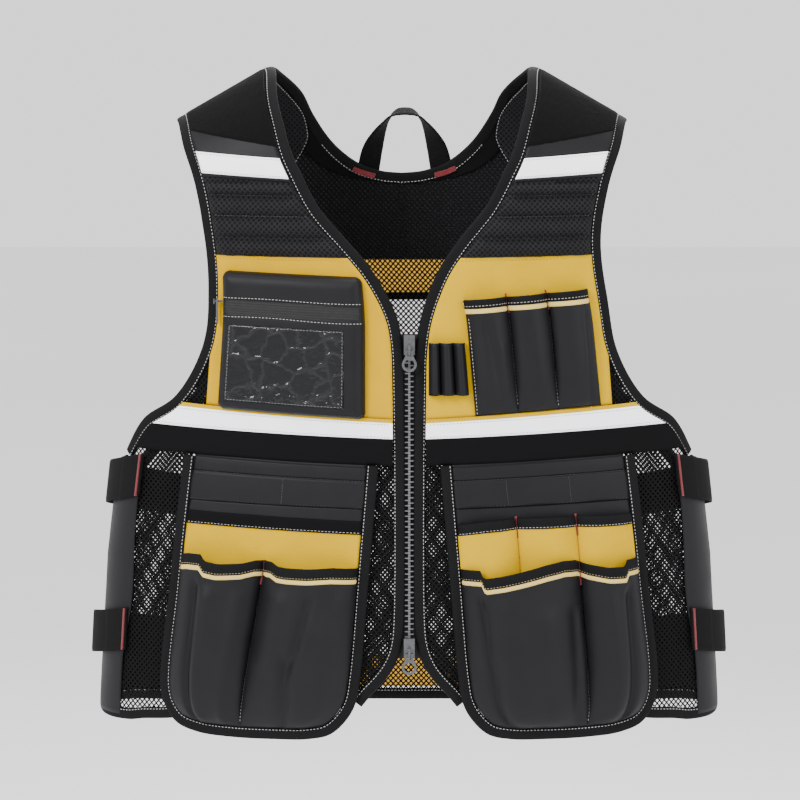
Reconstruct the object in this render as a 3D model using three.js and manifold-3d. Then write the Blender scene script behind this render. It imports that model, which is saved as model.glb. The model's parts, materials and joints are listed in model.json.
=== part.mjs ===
import * as THREE from 'three';
import { mergeVertices } from 'three/addons/utils/BufferGeometryUtils.js';
import Module from 'manifold-3d';

// A utility work vest in millimetres, +Z up, front towards -Y, origin between the shoulders at ridge height.

// Overall form
const HEIGHT = 645;
const HALF_WIDTH = 306;
const HALF_DEPTH = 118;
const SIDE_RADIUS = 60;
const SIDE_OPENING = 12;
const SHOULDER_DROP = 110;
const SHOULDER_ARC = 145;
const RIDGE_HALF = 131;
const RIDGE_SLOPE = 0.547;
const RIDGE_RISE = 2;
const YOKE_LEAN = 7;

// Cloth and trim
const GAP = 0.3;
const LAYER_GAP = 0.5;
const EDGE_GAP = 1.2;
const MESH = 2.4;
const CLOTH = 1.2;
const WEBBING = 2;
const BINDING_WIDTH = 11;
const BINDING_THICK = 5;
const RIB_RISE = 4.5;
const REFLECTOR_THICK = 0.8;
const HOOK_THICK = 2;
const STRAP_WIDTH = 42;
const LOOP_WIDTH = 24;
const LOOP_HEIGHT = 67;
const LOOP_SPREAD = 76;

// Pockets
const CHEST_POCKET_DEPTH = 11;
const PEN_POCKET_DEPTH = 13;
const PEN_LOOP_DEPTH = 9;
const UPPER_POCKET_DEPTH = 11;
const LOWER_POCKET_DEPTH = 22;
const POCKET_WALL = 1.6;
const MOUTH_BINDING = 8;
const WINDOW_THICK = 1;
const WINDOW_WIDTH = 104;
const WINDOW_HEIGHT = 70;

// Zip
const CHAIN_WIDTH = 7.8;
const CHAIN_THICK = 2.6;
const TAPE_WIDTH = 30;
const SLIDER_WIDTH = 10.5;
const SLIDER_LENGTH = 19;
const SLIDER_THICK = 4.5;
const SLIDER_CORE = 6.4;
const ARCH_WIDTH = 2;
const ARCH_BAR = 1.5;
const ARCH_ROOM = 3.2;
const PULL_THICK = 1.6;
const PULL_RING = 7.2;
const PULL_HOLE = 4.8;
const PULL_LENGTH = 20;

// Layer heights above the middle of the mesh
const MESH_TOP = MESH / 2;
const BINDING_TOP = BINDING_THICK / 2;
const FIRST_LAYER = MESH_TOP + LAYER_GAP;
const BAND_LAYER = FIRST_LAYER + CLOTH + LAYER_GAP;
const BAND_TOP = BAND_LAYER + CLOTH;
const HANGING_LAYER = BINDING_TOP + LAYER_GAP;
const HANGING_TOP = HANGING_LAYER + CLOTH;
const POCKET_LAYER = HANGING_TOP + LAYER_GAP;

// Sections: height, half width and half depth as shares of the overall form
const SECTIONS = [
  { height: 0.171, width: 0.856, depth: 0.864 },
  { height: 0.388, width: 0.873, depth: 0.907 },
  { height: 0.589, width: 0.928, depth: 0.941 },
  { height: 0.744, width: 0.967, depth: 0.966 },
  { height: 1.0, width: 1.0, depth: 1.0 },
];

const mix = (a, b, share) => a + (b - a) * share;
const clamp = (value, low, high) => Math.min(high, Math.max(low, value));
const smooth = (value) => value * value * (3 - 2 * value);

function sectionAt(z) {
  const height = clamp(-z / HEIGHT, SECTIONS[0].height, 1.02);
  let row = 0;
  while (row < SECTIONS.length - 2 && height > SECTIONS[row + 1].height) row += 1;
  const [above, below] = [SECTIONS[row], SECTIONS[row + 1]];
  const share = (height - above.height) / (below.height - above.height);
  const halfWidth = HALF_WIDTH * mix(above.width, below.width, share);
  const halfDepth = HALF_DEPTH * mix(above.depth, below.depth, share);
  const flank = halfWidth - SIDE_RADIUS;
  const broad = (flank ** 2 + halfDepth ** 2 - SIDE_RADIUS ** 2) / (2 * (halfDepth - SIDE_RADIUS));
  const turn = Math.asin(flank / (broad - SIDE_RADIUS));
  return { halfDepth, flank, broad, turn, run: broad * turn };
}

// A point of the ring at height z, given its distance along the cloth from the centre line
function ringPoint(u, z) {
  const s = sectionAt(z);
  const side = u < 0 ? -1 : 1;
  const run = Math.abs(u);
  if (run <= s.run) {
    const angle = run / s.broad;
    return [side * s.broad * Math.sin(angle), s.broad * Math.cos(angle) - s.broad + s.halfDepth];
  }
  const angle = s.turn + (run - s.run) / SIDE_RADIUS;
  return [side * (s.flank + SIDE_RADIUS * Math.sin(angle)), SIDE_RADIUS * Math.cos(angle)];
}

function ringRun(x, z) {
  const s = sectionAt(z);
  const reach = Math.abs(x);
  if (reach <= s.broad * Math.sin(s.turn)) return s.broad * Math.asin(reach / s.broad);
  const angle = Math.asin(clamp((reach - s.flank) / SIDE_RADIUS, -1, 1));
  return s.run + SIDE_RADIUS * (angle - s.turn);
}

const sideRun = (z) => {
  const s = sectionAt(z);
  return s.run + SIDE_RADIUS * (Math.PI / 2 - s.turn);
};

const ridgeHeight = (x) => RIDGE_RISE - RIDGE_SLOPE * Math.max(0, Math.abs(x) - RIDGE_HALF);

// The yoke leans a little to one side, fading out at chest height
const leanAt = (z) => -YOKE_LEAN * smooth(clamp((z / HEIGHT + 0.388) / 0.17, 0, 1));

// Height along the cloth: below 0 the front, 0 to two arcs the shoulder, above that the back
function surfacePoint(u, w) {
  if (w > 0 && w < 2 * SHOULDER_ARC) {
    const [x, depth] = ringPoint(u, -SHOULDER_DROP);
    const angle = (w / SHOULDER_ARC) * (Math.PI / 2);
    const z = -SHOULDER_DROP + (ridgeHeight(x) + SHOULDER_DROP) * Math.sin(angle);
    return new THREE.Vector3(x + leanAt(z), -depth * Math.cos(angle), z);
  }
  const front = w <= 0;
  const z = -SHOULDER_DROP + (front ? w : 2 * SHOULDER_ARC - w);
  const [x, depth] = ringPoint(u, z);
  return new THREE.Vector3(x + leanAt(z), front ? -depth : depth, z);
}

function clothPoint(u, w, offset) {
  const step = 0.5;
  const across = surfacePoint(u + step, w).sub(surfacePoint(u - step, w));
  const along = surfacePoint(u, w + step).sub(surfacePoint(u, w - step));
  return surfacePoint(u, w).addScaledVector(across.cross(along).normalize(), offset);
}

// From a place seen from the front (or back) to cloth coordinates
function heightOn(x, z, back = false) {
  let w = z + SHOULDER_DROP;
  if (w > 0) {
    const share = clamp(w / (ridgeHeight(x) + SHOULDER_DROP), 0, 1);
    w = (SHOULDER_ARC * Math.asin(share)) / (Math.PI / 2);
  }
  return back ? 2 * SHOULDER_ARC - w : w;
}

const flat = (x, z, back = false) => [
  Math.sign(x || 1) * ringRun(x, Math.min(z, -SHOULDER_DROP)),
  heightOn(x, z, back),
];

const frontHeight = (z) => z + SHOULDER_DROP;

// Outlines of the right half: x as a share of HALF_WIDTH, z as a share of HEIGHT
const FRONT_EDGE = [
  { x: 0.15, z: 0.95 }, { x: 0.121, z: 0.933 }, { x: 0.08, z: 0.912 }, { x: 0.047, z: 0.889 },
  { x: 0.025, z: 0.86 }, { x: 0.017, z: 0.825 }, { x: 0.017, z: 0.465 }, { x: 0.021, z: 0.409 },
  { x: 0.034, z: 0.37 }, { x: 0.064, z: 0.331 }, { x: 0.109, z: 0.291 }, { x: 0.172, z: 0.252 },
  { x: 0.26, z: 0.202 }, { x: 0.31, z: 0.157 }, { x: 0.346, z: 0.121 }, { x: 0.372, z: 0.079 },
  { x: 0.391, z: 0.045 }, { x: 0.399, z: 0.008 }, { x: 0.404, z: -0.003 },
];
const ARMHOLE = [
  { x: 0.899, z: 0.578 }, { x: 0.843, z: 0.528 }, { x: 0.739, z: 0.49 }, { x: 0.654, z: 0.417 },
  { x: 0.627, z: 0.333 }, { x: 0.621, z: 0.271 }, { x: 0.632, z: 0.217 }, { x: 0.657, z: 0.161 },
  { x: 0.69, z: 0.116 }, { x: 0.717, z: 0.082 },
];
const NECKLINE = [
  { x: 0.382, z: 0.016 }, { x: 0.32, z: 0.048 }, { x: 0.288, z: 0.081 }, { x: 0.229, z: 0.124 },
  { x: 0.147, z: 0.157 }, { x: 0.065, z: 0.171 }, { x: 0.0, z: 0.174 },
];
const FRONT_HEM = [
  { x: 0.905, z: 0.991 }, { x: 0.85, z: 0.991 }, { x: 0.755, z: 0.966 }, { x: 0.49, z: 0.955 },
  { x: 0.2, z: 0.953 },
];
const TOOL_PANEL = [
  { x: 0.095, z: 0.586 }, { x: 0.126, z: 0.76 }, { x: 0.152, z: 0.902 }, { x: 0.167, z: 0.943 },
  { x: 0.196, z: 0.969 }, { x: 0.248, z: 0.992 }, { x: 0.317, z: 1.0 }, { x: 0.425, z: 1.002 },
  { x: 0.562, z: 1.002 }, { x: 0.663, z: 0.998 }, { x: 0.732, z: 0.986 }, { x: 0.768, z: 0.964 },
  { x: 0.784, z: 0.938 }, { x: 0.784, z: 0.899 }, { x: 0.755, z: 0.781 }, { x: 0.735, z: 0.69 },
  { x: 0.706, z: 0.577 },
];
const SIDE_STRIP = [
  { x: 0.922, z: 0.95 }, { x: 0.912, z: 0.888 }, { x: 0.882, z: 0.803 }, { x: 0.872, z: 0.713 },
  { x: 0.853, z: 0.604 },
];

const outline = (rows, back = false) =>
  rows.map((row) => flat(row.x * HALF_WIDTH, -row.z * HEIGHT, back));

// Resamples a path to even steps along a smooth curve
function smoothPath(points, count) {
  const curve = new THREE.CatmullRomCurve3(points.map(([u, w]) => new THREE.Vector3(u, w, 0)));
  curve.curveType = 'centripetal';
  return curve.getSpacedPoints(count).map((p) => [p.x, p.y]);
}

function offsetPath(path, distance) {
  return path.map(([u, w], i) => {
    const before = path[Math.max(0, i - 1)];
    const after = path[Math.min(path.length - 1, i + 1)];
    const length = Math.hypot(after[0] - before[0], after[1] - before[1]);
    const du = (after[0] - before[0]) / length;
    const dw = (after[1] - before[1]) / length;
    return [u + dw * distance, w - du * distance];
  });
}

// Reads one coordinate of a path from the other
function readPath(path, from, to, value) {
  const rising = path[0][from] < path[path.length - 1][from];
  const list = rising ? path : [...path].reverse();
  let i = 0;
  while (i < list.length - 2 && value > list[i + 1][from]) i += 1;
  const span = list[i + 1][from] - list[i][from];
  const share = clamp((value - list[i][from]) / (span || 1), 0, 1);
  return mix(list[i][to], list[i + 1][to], share);
}
const runAt = (path, w) => readPath(path, 1, 0, w);
const riseAt = (path, u) => readPath(path, 0, 1, u);

const HEM_Z = -HEIGHT * 0.991;
const HEM_CORNER = 18;
const ARMHOLE_END_Z = -HEIGHT * ARMHOLE[0].z;
const RIDGE_SEAM = SHOULDER_ARC * 1.07;
const cover = BINDING_WIDTH + EDGE_GAP;

const frontEdge = smoothPath(outline(FRONT_EDGE), 30);
const armholeFront = outline(ARMHOLE);
const armholeBack = outline(ARMHOLE, true).reverse();
const armhole = smoothPath([...armholeFront, ...armholeBack], 38);

const sideEdge = (z, back) => {
  const w = heightOn(0, z);
  return [sideRun(z) - SIDE_OPENING / 2, back ? 2 * SHOULDER_ARC - w : w];
};

function sideAndHem(hem, back) {
  const start = sideEdge(ARMHOLE_END_Z - HEM_CORNER, back);
  const low = sideEdge(HEM_Z + HEM_CORNER, back);
  const corner = sideEdge(HEM_Z + HEM_CORNER * 0.3, back);
  corner[0] -= HEM_CORNER * 0.3;
  const middle = sideEdge(mix(ARMHOLE_END_Z, HEM_Z, 0.5), back);
  const top = back ? armhole[armhole.length - 1] : armhole[0];
  return [[top[0] + 2, mix(top[1], start[1], 0.35)], start, middle, low, corner, ...hem];
}
const frontHem = smoothPath(sideAndHem(outline(FRONT_HEM), false), 26);
const backHemRow = [
  { x: 0.905, z: 0.991 }, { x: 0.6, z: 1.0 }, { x: 0.3, z: 1.004 }, { x: 0.0, z: 1.006 },
];
const backHem = smoothPath(sideAndHem(outline(backHemRow, true), true), 26);
const neckline = smoothPath([[frontEdge[frontEdge.length - 1][0], RIDGE_SEAM], ...outline(NECKLINE, true)], 14);
const toolEdge = smoothPath(outline(TOOL_PANEL), 34);

const edgeInner = offsetPath(frontEdge, cover);
const armholeInner = offsetPath(armhole, -cover);
const frontHemInner = offsetPath(frontHem, cover);
const backHemInner = offsetPath(backHem, -cover);
const neckInner = offsetPath(neckline, cover);
const toolInner = offsetPath(toolEdge, -cover);

// Splits an inner path at its lower corner into the side and the hem
function splitAt(path, level) {
  const index = path.findIndex(([, w]) => Math.abs(w - level) < HEM_CORNER + cover * 0.5);
  return { side: path.slice(0, index + 1), hem: path.slice(index) };
}
const frontLow = splitAt(frontHemInner, frontHeight(HEM_Z));
const backLow = splitAt(backHemInner, 2 * SHOULDER_ARC - frontHeight(HEM_Z));
const toolLowest = toolInner.reduce((low, point, i) => (point[1] < toolInner[low][1] ? i : low), 0);
const toolBottom = toolInner[toolLowest][1];
const toolSides = {
  inner: toolInner.slice(0, toolInner.findIndex(([, w]) => w < toolBottom + GAP) + 1),
  outer: toolInner.slice(toolInner.findLastIndex(([, w]) => w < toolBottom + GAP)),
};

const material = (color, roughness = 0.85, metalness = 0) =>
  new THREE.MeshStandardMaterial({ color, roughness, metalness });
const LOOKS = {
  mesh: material(0x202124, 0.9),
  black: material(0x2c2c31, 0.75),
  band: material(0x17171a, 0.85),
  binding: material(0x1c1d20, 0.8),
  hook: material(0x0e0e10, 1),
  yellow: material(0xf2c12e, 0.7),
  reflector: material(0xdfe2ea, 0.35, 0.2),
  clear: material(0x4a4c52, 0.1),
  metal: material(0x8b8f95, 0.35, 0.9),
  zip: material(0x4a4d52, 0.5, 0.6),
};

const vest = new THREE.Group();

function addMesh(name, geometry, look) {
  const mesh = new THREE.Mesh(geometry, LOOKS[look].clone());
  mesh.name = name;
  vest.add(mesh);
  return mesh;
}

// Builds a closed body from rings of points that all have the same count
function bodyOf(points, faces) {
  let volume = 0;
  for (const [a, b, c] of faces) {
    volume += points[a].dot(points[b].clone().cross(points[c]));
  }
  const ordered = volume < 0 ? faces.map(([a, b, c]) => [a, c, b]) : faces;
  const geometry = new THREE.BufferGeometry();
  geometry.setAttribute('position', new THREE.Float32BufferAttribute(points.flatMap((p) => p.toArray()), 3));
  geometry.setIndex(ordered.flat());
  geometry.computeVertexNormals();
  return geometry;
}

const even = (count) => Array.from({ length: count + 1 }, (_, i) => i / count);

// A four-sided piece of cloth: place gives its cloth coordinates, inner and outer its two faces
function panel({ columns, rows, place, inner, outer }) {
  const [width, height] = [columns.length, rows.length];
  const points = [];
  for (const face of [inner, outer]) {
    for (const t of rows) {
      for (const s of columns) {
        const [u, w] = place(s, t);
        points.push(clothPoint(u, w, face(s, t)));
      }
    }
  }
  const at = (layer, row, column) => (layer * height + row) * width + column;
  const faces = [];
  const quad = (a, b, c, d) => faces.push([a, b, c], [a, c, d]);
  for (let row = 0; row < height - 1; row += 1) {
    for (let column = 0; column < width - 1; column += 1) {
      quad(at(1, row, column), at(1, row, column + 1), at(1, row + 1, column + 1), at(1, row + 1, column));
      quad(at(0, row, column), at(0, row + 1, column), at(0, row + 1, column + 1), at(0, row, column + 1));
    }
    quad(at(0, row, 0), at(1, row, 0), at(1, row + 1, 0), at(0, row + 1, 0));
    const last = width - 1;
    quad(at(0, row, last), at(0, row + 1, last), at(1, row + 1, last), at(1, row, last));
  }
  for (let column = 0; column < width - 1; column += 1) {
    quad(at(0, 0, column), at(0, 0, column + 1), at(1, 0, column + 1), at(1, 0, column));
    const last = height - 1;
    quad(at(0, last, column), at(1, last, column), at(1, last, column + 1), at(0, last, column + 1));
  }
  return bodyOf(points, faces);
}

// Sweeps closed rings of points into one body with flat ends
function sweep(rings) {
  const sides = rings[0].length;
  const faces = [];
  for (let ring = 0; ring < rings.length - 1; ring += 1) {
    for (let i = 0; i < sides; i += 1) {
      const next = (i + 1) % sides;
      const [a, b] = [ring * sides + i, ring * sides + next];
      faces.push([a, b, b + sides], [a, b + sides, a + sides]);
    }
  }
  const last = (rings.length - 1) * sides;
  for (let i = 1; i < sides - 1; i += 1) {
    faces.push([0, i + 1, i], [last, last + i, last + i + 1]);
  }
  return bodyOf(rings.flat(), faces);
}

// A rounded edge binding along a path, reaching inwards over its width
function binding(path, towards, middle, side = 1) {
  const half = BINDING_THICK / 2;
  const section = [
    { across: 0, rise: 0 }, { across: 0.15, rise: 1 }, { across: 1, rise: 1 },
    { across: 1, rise: -1 }, { across: 0.15, rise: -1 },
  ];
  const shifted = section.map((row) => offsetPath(path, towards * BINDING_WIDTH * row.across));
  return sweep(path.map((_, i) => section.map((row, k) => {
    const [u, w] = shifted[k][i];
    return clothPoint(side * u, w, middle + half * row.rise);
  })));
}

// Places between the front edge and the armhole, with z given at both ends of the top and bottom
function spanning({ top, bottom, inset = 0, reach = null }) {
  return (s, t) => {
    const z = mix(mix(top[0], top[1], s), mix(bottom[0], bottom[1], s), t) * -HEIGHT;
    let w = frontHeight(z);
    let u = 0;
    for (let pass = 0; pass < 4; pass += 1) {
      const outerRun = Math.min(runAt(armholeInner, w), reach ? reach(w) : Infinity);
      u = mix(runAt(edgeInner, w) + inset, outerRun - inset, s);
      w = heightOn(ringPoint(u, Math.min(z, -SHOULDER_DROP))[0], z);
    }
    return [u, w];
  };
}

const mirrored = (side, place) => (s, t) => {
  const [u, w] = place(s, t);
  return [side * u, w];
};
const constant = (value) => () => value;
const SIDES = [{ name: 'left', side: -1 }, { name: 'right', side: 1 }];

// The side limit of the main cloth: past is how far w lies below the end of the armhole
function outerLimit(w, past, sidePath) {
  const notch = 4 * EDGE_GAP * Math.exp(-(((past - 8) / HEM_CORNER) ** 2));
  const limit = runAt(sidePath, w) - 2 * EDGE_GAP - notch;
  return past > 0 ? limit : Math.min(limit, runAt(armholeInner, w) - notch);
}

// Main cloth of each front, from the hem to just behind the shoulder ridge
function frontPlace(s, t) {
  const low = frontLow.side[frontLow.side.length - 1][0];
  const hemU = mix(edgeInner[0][0], low, s);
  const w = mix(riseAt(frontLow.hem, hemU) + 2 * EDGE_GAP, RIDGE_SEAM, t);
  return [mix(runAt(edgeInner, w), outerLimit(w, armholeInner[0][1] - w, frontLow.side), s), w];
}
const FRONT_ROWS = [
  0, 0.03, 0.09, 0.16, 0.24, 0.32, 0.37, 0.39, 0.41, 0.435, 0.46, 0.49, 0.52, 0.56, 0.6, 0.64,
  0.68, 0.72, 0.76, 0.8, 0.84, 0.88, 0.92, 0.96, 1,
];

// Chest yoke pieces: shares of HEIGHT at the front edge and at the armhole
const YOKE = {
  patchTop: [0.026, 0.1], patchLow: [0.116, 0.098],
  reflectorTop: [0.132, 0.126], reflectorLow: [0.161, 0.155],
  ribs: [0.167, 0.186, 0.217, 0.249, 0.277],
  yellowTop: [0.279, 0.278], yellowLow: [0.513, 0.497],
  bandTop: [0.52, 0.503], bandLow: [0.581, 0.568],
  stripTop: [0.522, 0.505], stripLow: [0.545, 0.533],
};
const PAD_BASE = 3;
const PAD_TOP = FIRST_LAYER + PAD_BASE;

// The padded yoke swells between its stitched grooves
function padRise(s, t) {
  const z = mix(0.026, YOKE.ribs[4], t);
  if (z < YOKE.ribs[0]) return PAD_TOP;
  const row = YOKE.ribs.findIndex((limit, i) => i < 4 && z <= YOKE.ribs[i + 1]);
  const i = row < 0 ? 3 : row;
  const share = (z - YOKE.ribs[i]) / (YOKE.ribs[i + 1] - YOKE.ribs[i]);
  const end = Math.min(1, Math.min(s, 1 - s) / 0.08);
  return FIRST_LAYER + 1.4 + RIB_RISE * Math.sqrt(Math.max(0, Math.sin(Math.PI * share))) * end;
}
const padZ = (z) => (z - 0.026) / (YOKE.ribs[4] - 0.026);
const PAD_ROWS = [
  0, 0.03, 0.07, 0.12, 0.17, 0.23, 0.3, 0.37, 0.43, 0.49, ...YOKE.ribs.slice(0, 4).flatMap((z, i) => {
    const span = YOKE.ribs[i + 1] - z;
    return [padZ(z + span * 0.01), padZ(z + span * 0.18), padZ(z + span * 0.5), padZ(z + span * 0.82)];
  }), 1,
];

const BAND_COLUMNS = [0, 0.2, 0.4, 0.6, 0.8, 0.86, 0.91, 0.955, 1];
const yellowReach = (w) => ringRun(mix(191, 203, clamp((frontHeight(-270) - w) / 55, 0, 1)), -270);

for (const { name, side } of SIDES) {
  const put = (title, look, spec) =>
    addMesh(`${title}_${name}`, panel({ ...spec, place: mirrored(side, spec.place) }), look);
  put('front_panel', 'mesh', {
    columns: [0, 0.3, 0.6, 0.78, 0.88, 0.95, 1], rows: FRONT_ROWS, place: frontPlace,
    inner: constant(-MESH_TOP), outer: constant(MESH_TOP),
  });
  put('shoulder_pad', 'mesh', {
    columns: [0, 0.08, 0.36, 0.64, 0.92, 1], rows: PAD_ROWS,
    place: spanning({ top: [0.026, 0.105], bottom: [YOKE.ribs[4], YOKE.ribs[4]], inset: GAP }),
    inner: constant(FIRST_LAYER), outer: padRise,
  });
  put('hook_patch', 'hook', {
    columns: even(4), rows: [0, 0.06, 0.14, 0.24, 0.38, 0.53, 0.69, 0.84, 1],
    place: spanning({ top: YOKE.patchTop.map((z) => z + 0.004), bottom: YOKE.patchLow, inset: 2 }),
    inner: constant(PAD_TOP + LAYER_GAP), outer: constant(PAD_TOP + LAYER_GAP + HOOK_THICK),
  });
  put('shoulder_reflector', 'reflector', {
    columns: even(5), rows: even(2),
    place: spanning({ top: YOKE.reflectorTop, bottom: YOKE.reflectorLow, inset: 1 }),
    inner: constant(PAD_TOP + LAYER_GAP), outer: constant(PAD_TOP + LAYER_GAP + REFLECTOR_THICK),
  });
  put('yellow_panel', 'yellow', {
    columns: even(6), rows: even(6),
    place: spanning({ top: YOKE.yellowTop, bottom: YOKE.yellowLow, inset: GAP, reach: yellowReach }),
    inner: constant(FIRST_LAYER), outer: constant(FIRST_LAYER + CLOTH),
  });
  put('waist_band', 'band', {
    columns: BAND_COLUMNS, rows: even(1),
    place: spanning({ top: YOKE.bandTop, bottom: YOKE.bandLow, inset: GAP }),
    inner: constant(BAND_LAYER), outer: constant(BAND_TOP),
  });
  put('waist_reflector', 'reflector', {
    columns: BAND_COLUMNS, rows: even(1),
    place: spanning({ top: YOKE.stripTop, bottom: YOKE.stripLow, inset: GAP }),
    inner: constant(BAND_TOP + LAYER_GAP), outer: constant(BAND_TOP + LAYER_GAP + REFLECTOR_THICK),
  });
}

// Back cloth: columns follow the neckline at the top and the hem at the bottom
const BACK_TOP = RIDGE_SEAM + GAP;
const armEnd = armholeInner[armholeInner.length - 1][1];
const backOuterRun = (w) => outerLimit(w, w - armEnd, backLow.side);
function backPlace(s, t) {
  const share = Math.abs(s);
  let top = BACK_TOP;
  if (share * backOuterRun(BACK_TOP) < neckInner[0][0]) {
    for (let pass = 0; pass < 30; pass += 1) {
      top = mix(top, riseAt(neckInner, share * backOuterRun(top)) + 1.8 * EDGE_GAP, 0.5);
    }
  }
  const hemU = share * backLow.side[backLow.side.length - 1][0];
  const w = mix(top, riseAt(backLow.hem, hemU) + EDGE_GAP * 0.4, t);
  return [s * backOuterRun(w), w];
}
addMesh('back_panel', panel({
  columns: [
    -1, -0.9, -0.78, -0.66, -0.58, -0.48, -0.34, -0.18, 0, 0.18, 0.34, 0.48, 0.58, 0.66, 0.78, 0.9, 1,
  ],
  rows: [
    0, 0.04, 0.08, 0.12, 0.16, 0.2, 0.24, 0.28, 0.32, 0.36, 0.39, 0.42, 0.45, 0.48, 0.505, 0.53, 0.555, 0.58,
    0.605, 0.64, 0.7, 0.77, 0.87, 0.96, 1,
  ],
  place: backPlace, inner: constant(-MESH_TOP), outer: constant(MESH_TOP),
}), 'mesh');

// Yellow bands across the back: one below the yoke, one at the hem
const BACK_BANDS = [
  { name: 'back_yellow_band', look: 'yellow', top: 0.308, low: 0.362 },
  { name: 'back_hem_band', look: 'yellow', top: 0.943, low: 0.968 },
];
const BAND_ENDS = [
  0, 0.015, 0.03, 0.05, 0.07, 0.1, 0.17, 0.25, 0.33, 0.42, 0.5, 0.58, 0.67, 0.75, 0.83, 0.9, 0.93, 0.95, 0.97,
  0.985, 1,
];
for (const band of BACK_BANDS) {
  addMesh(band.name, panel({
    columns: BAND_ENDS, rows: even(1),
    place: (s, t) => {
      const w = 2 * SHOULDER_ARC - frontHeight(-mix(band.top, band.low, t) * HEIGHT);
      const reach = backOuterRun(w) - (w > armEnd ? HEM_CORNER : EDGE_GAP);
      return [mix(-reach, reach, s), w];
    },
    inner: constant(FIRST_LAYER), outer: constant(FIRST_LAYER + CLOTH),
  }), band.look);
}

// Bindings
for (const { name, side } of SIDES) {
  const edge = [...frontEdge.filter(([, w]) => w < RIDGE_SEAM - 1), [frontEdge[frontEdge.length - 1][0], RIDGE_SEAM - GAP]];
  addMesh(`front_edge_binding_${name}`, binding(edge, 1, 0, side), 'binding');
  addMesh(`armhole_binding_${name}`, binding(armhole, -1, 0, side), 'binding');
  addMesh(`hem_binding_${name}`, binding(frontHem, 1, 0, side), 'binding');
  const hanging = HANGING_LAYER + BINDING_THICK / 2;
  addMesh(`tool_panel_binding_${name}`, binding(toolEdge, -1, hanging, side), 'binding');
}
const acrossBack = (path) => [...path, ...path.slice(0, -1).reverse().map(([u, w]) => [-u, w])];
addMesh('neck_binding', binding(acrossBack(neckline), 1, 0), 'binding');
addMesh('back_hem_binding', binding(acrossBack(backHem), -1, 0), 'binding');

// Plain strip inside each front side edge
for (const { name, side } of SIDES) {
  const inside = smoothPath(outline(SIDE_STRIP), 8);
  addMesh(`side_strip_${name}`, panel({
    columns: even(5), rows: even(6),
    place: mirrored(side, (s, t) => {
      const w = frontHeight(mix(-0.612, -0.955, t) * HEIGHT);
      return [mix(runAt(inside, w), runAt(frontLow.side, w) - GAP, s), w];
    }),
    inner: constant(FIRST_LAYER), outer: constant(FIRST_LAYER + CLOTH),
  }), 'band');
}

// Hanging tool panels
const bandZ = (inner, outer) => (s) => mix(inner, outer, s) * -HEIGHT;
const inTool = (topZ, lowZ, inset = 0) => (s, t) => {
  const w = frontHeight(mix(topZ(s), lowZ(s), t));
  return [mix(runAt(toolSides.inner, w) + inset, runAt(toolSides.outer, w) - inset, s), w];
};
const toolPlace = inTool(bandZ(0.586, 0.576), () => toolBottom - SHOULDER_DROP + GAP);
const TIERS = [
  { top: [0.589, 0.579], low: [0.609, 0.6], thick: 1.2 },
  { top: [0.609, 0.6], low: [0.65, 0.644], thick: 2.2 },
  { top: [0.65, 0.644], low: [0.683, 0.674], thick: 1.2 },
];

// Lower pocket mouths: z share of HEIGHT along the mouth from the zip side outwards
const LOWER_MOUTH = {
  left: [
    { s: 0, z: 0.762 }, { s: 0.25, z: 0.768 }, { s: 0.5, z: 0.766 }, { s: 0.56, z: 0.757 },
    { s: 0.62, z: 0.764 }, { s: 0.82, z: 0.758 }, { s: 0.9, z: 0.748 }, { s: 1, z: 0.744 },
  ],
  right: [
    { s: 0, z: 0.76 }, { s: 0.07, z: 0.765 }, { s: 0.12, z: 0.777 }, { s: 0.3, z: 0.77 },
    { s: 0.5, z: 0.757 }, { s: 0.66, z: 0.751 }, { s: 0.76, z: 0.762 }, { s: 0.9, z: 0.765 },
    { s: 0.94, z: 0.752 }, { s: 1, z: 0.755 },
  ],
};
const SEAMS = { left: { top: 0.535, low: 0.585 }, right: { top: 0.66, low: 0.68 } };
const mouthOf = (name) => (s) => {
  const rows = LOWER_MOUTH[name].map((row) => [row.s, -row.z * HEIGHT]);
  return readPath(rows, 0, 1, s);
};

// Depth of a row of compartments standing off the cloth, falling to nothing at seams and bottom
function swell(s, t, seams, depth) {
  const limits = [0, ...seams, 1];
  const i = Math.min(limits.length - 2, limits.filter((limit) => limit <= s).length - 1);
  const share = (s - limits[i]) / (limits[i + 1] - limits[i]);
  const arch = Math.max(0, Math.sin(Math.PI * share)) ** 0.55;
  const drape = Math.sqrt(Math.max(0, 1 - Math.max(0, (t - 0.15) / 0.85) ** 3));
  return depth * arch * drape;
}
const columnsFor = (seams, each) => {
  const limits = [0, ...seams, 1];
  return [...limits.slice(0, -1).flatMap((limit, i) =>
    even(each).slice(0, -1).map((share) => mix(limit, limits[i + 1], 0.5 - 0.5 * Math.cos(Math.PI * share)))), 1];
};

const POCKET_ROWS = [0, 0.25, 0.5, 0.7, 0.85, 0.95, 1];
const POCKET_COLUMNS = 5;
function compartments(title, side, { place, seams, depth, base, look, rows = POCKET_ROWS }) {
  addMesh(title, panel({
    columns: columnsFor(seams, POCKET_COLUMNS), rows, place: mirrored(side, place),
    inner: (s, t) => base + swell(s, t, seams, depth),
    outer: (s, t) => base + swell(s, t, seams, depth) + POCKET_WALL,
  }), look);
}
function mouthBinding(title, side, { place, seams, depth, base }) {
  addMesh(title, panel({
    columns: columnsFor(seams, POCKET_COLUMNS), rows: [0, 1], place: mirrored(side, place),
    inner: (s) => base + swell(s, 0, seams, depth),
    outer: (s) => base + swell(s, 0, seams, depth) + POCKET_WALL + 1,
  }), 'binding');
}

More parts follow.
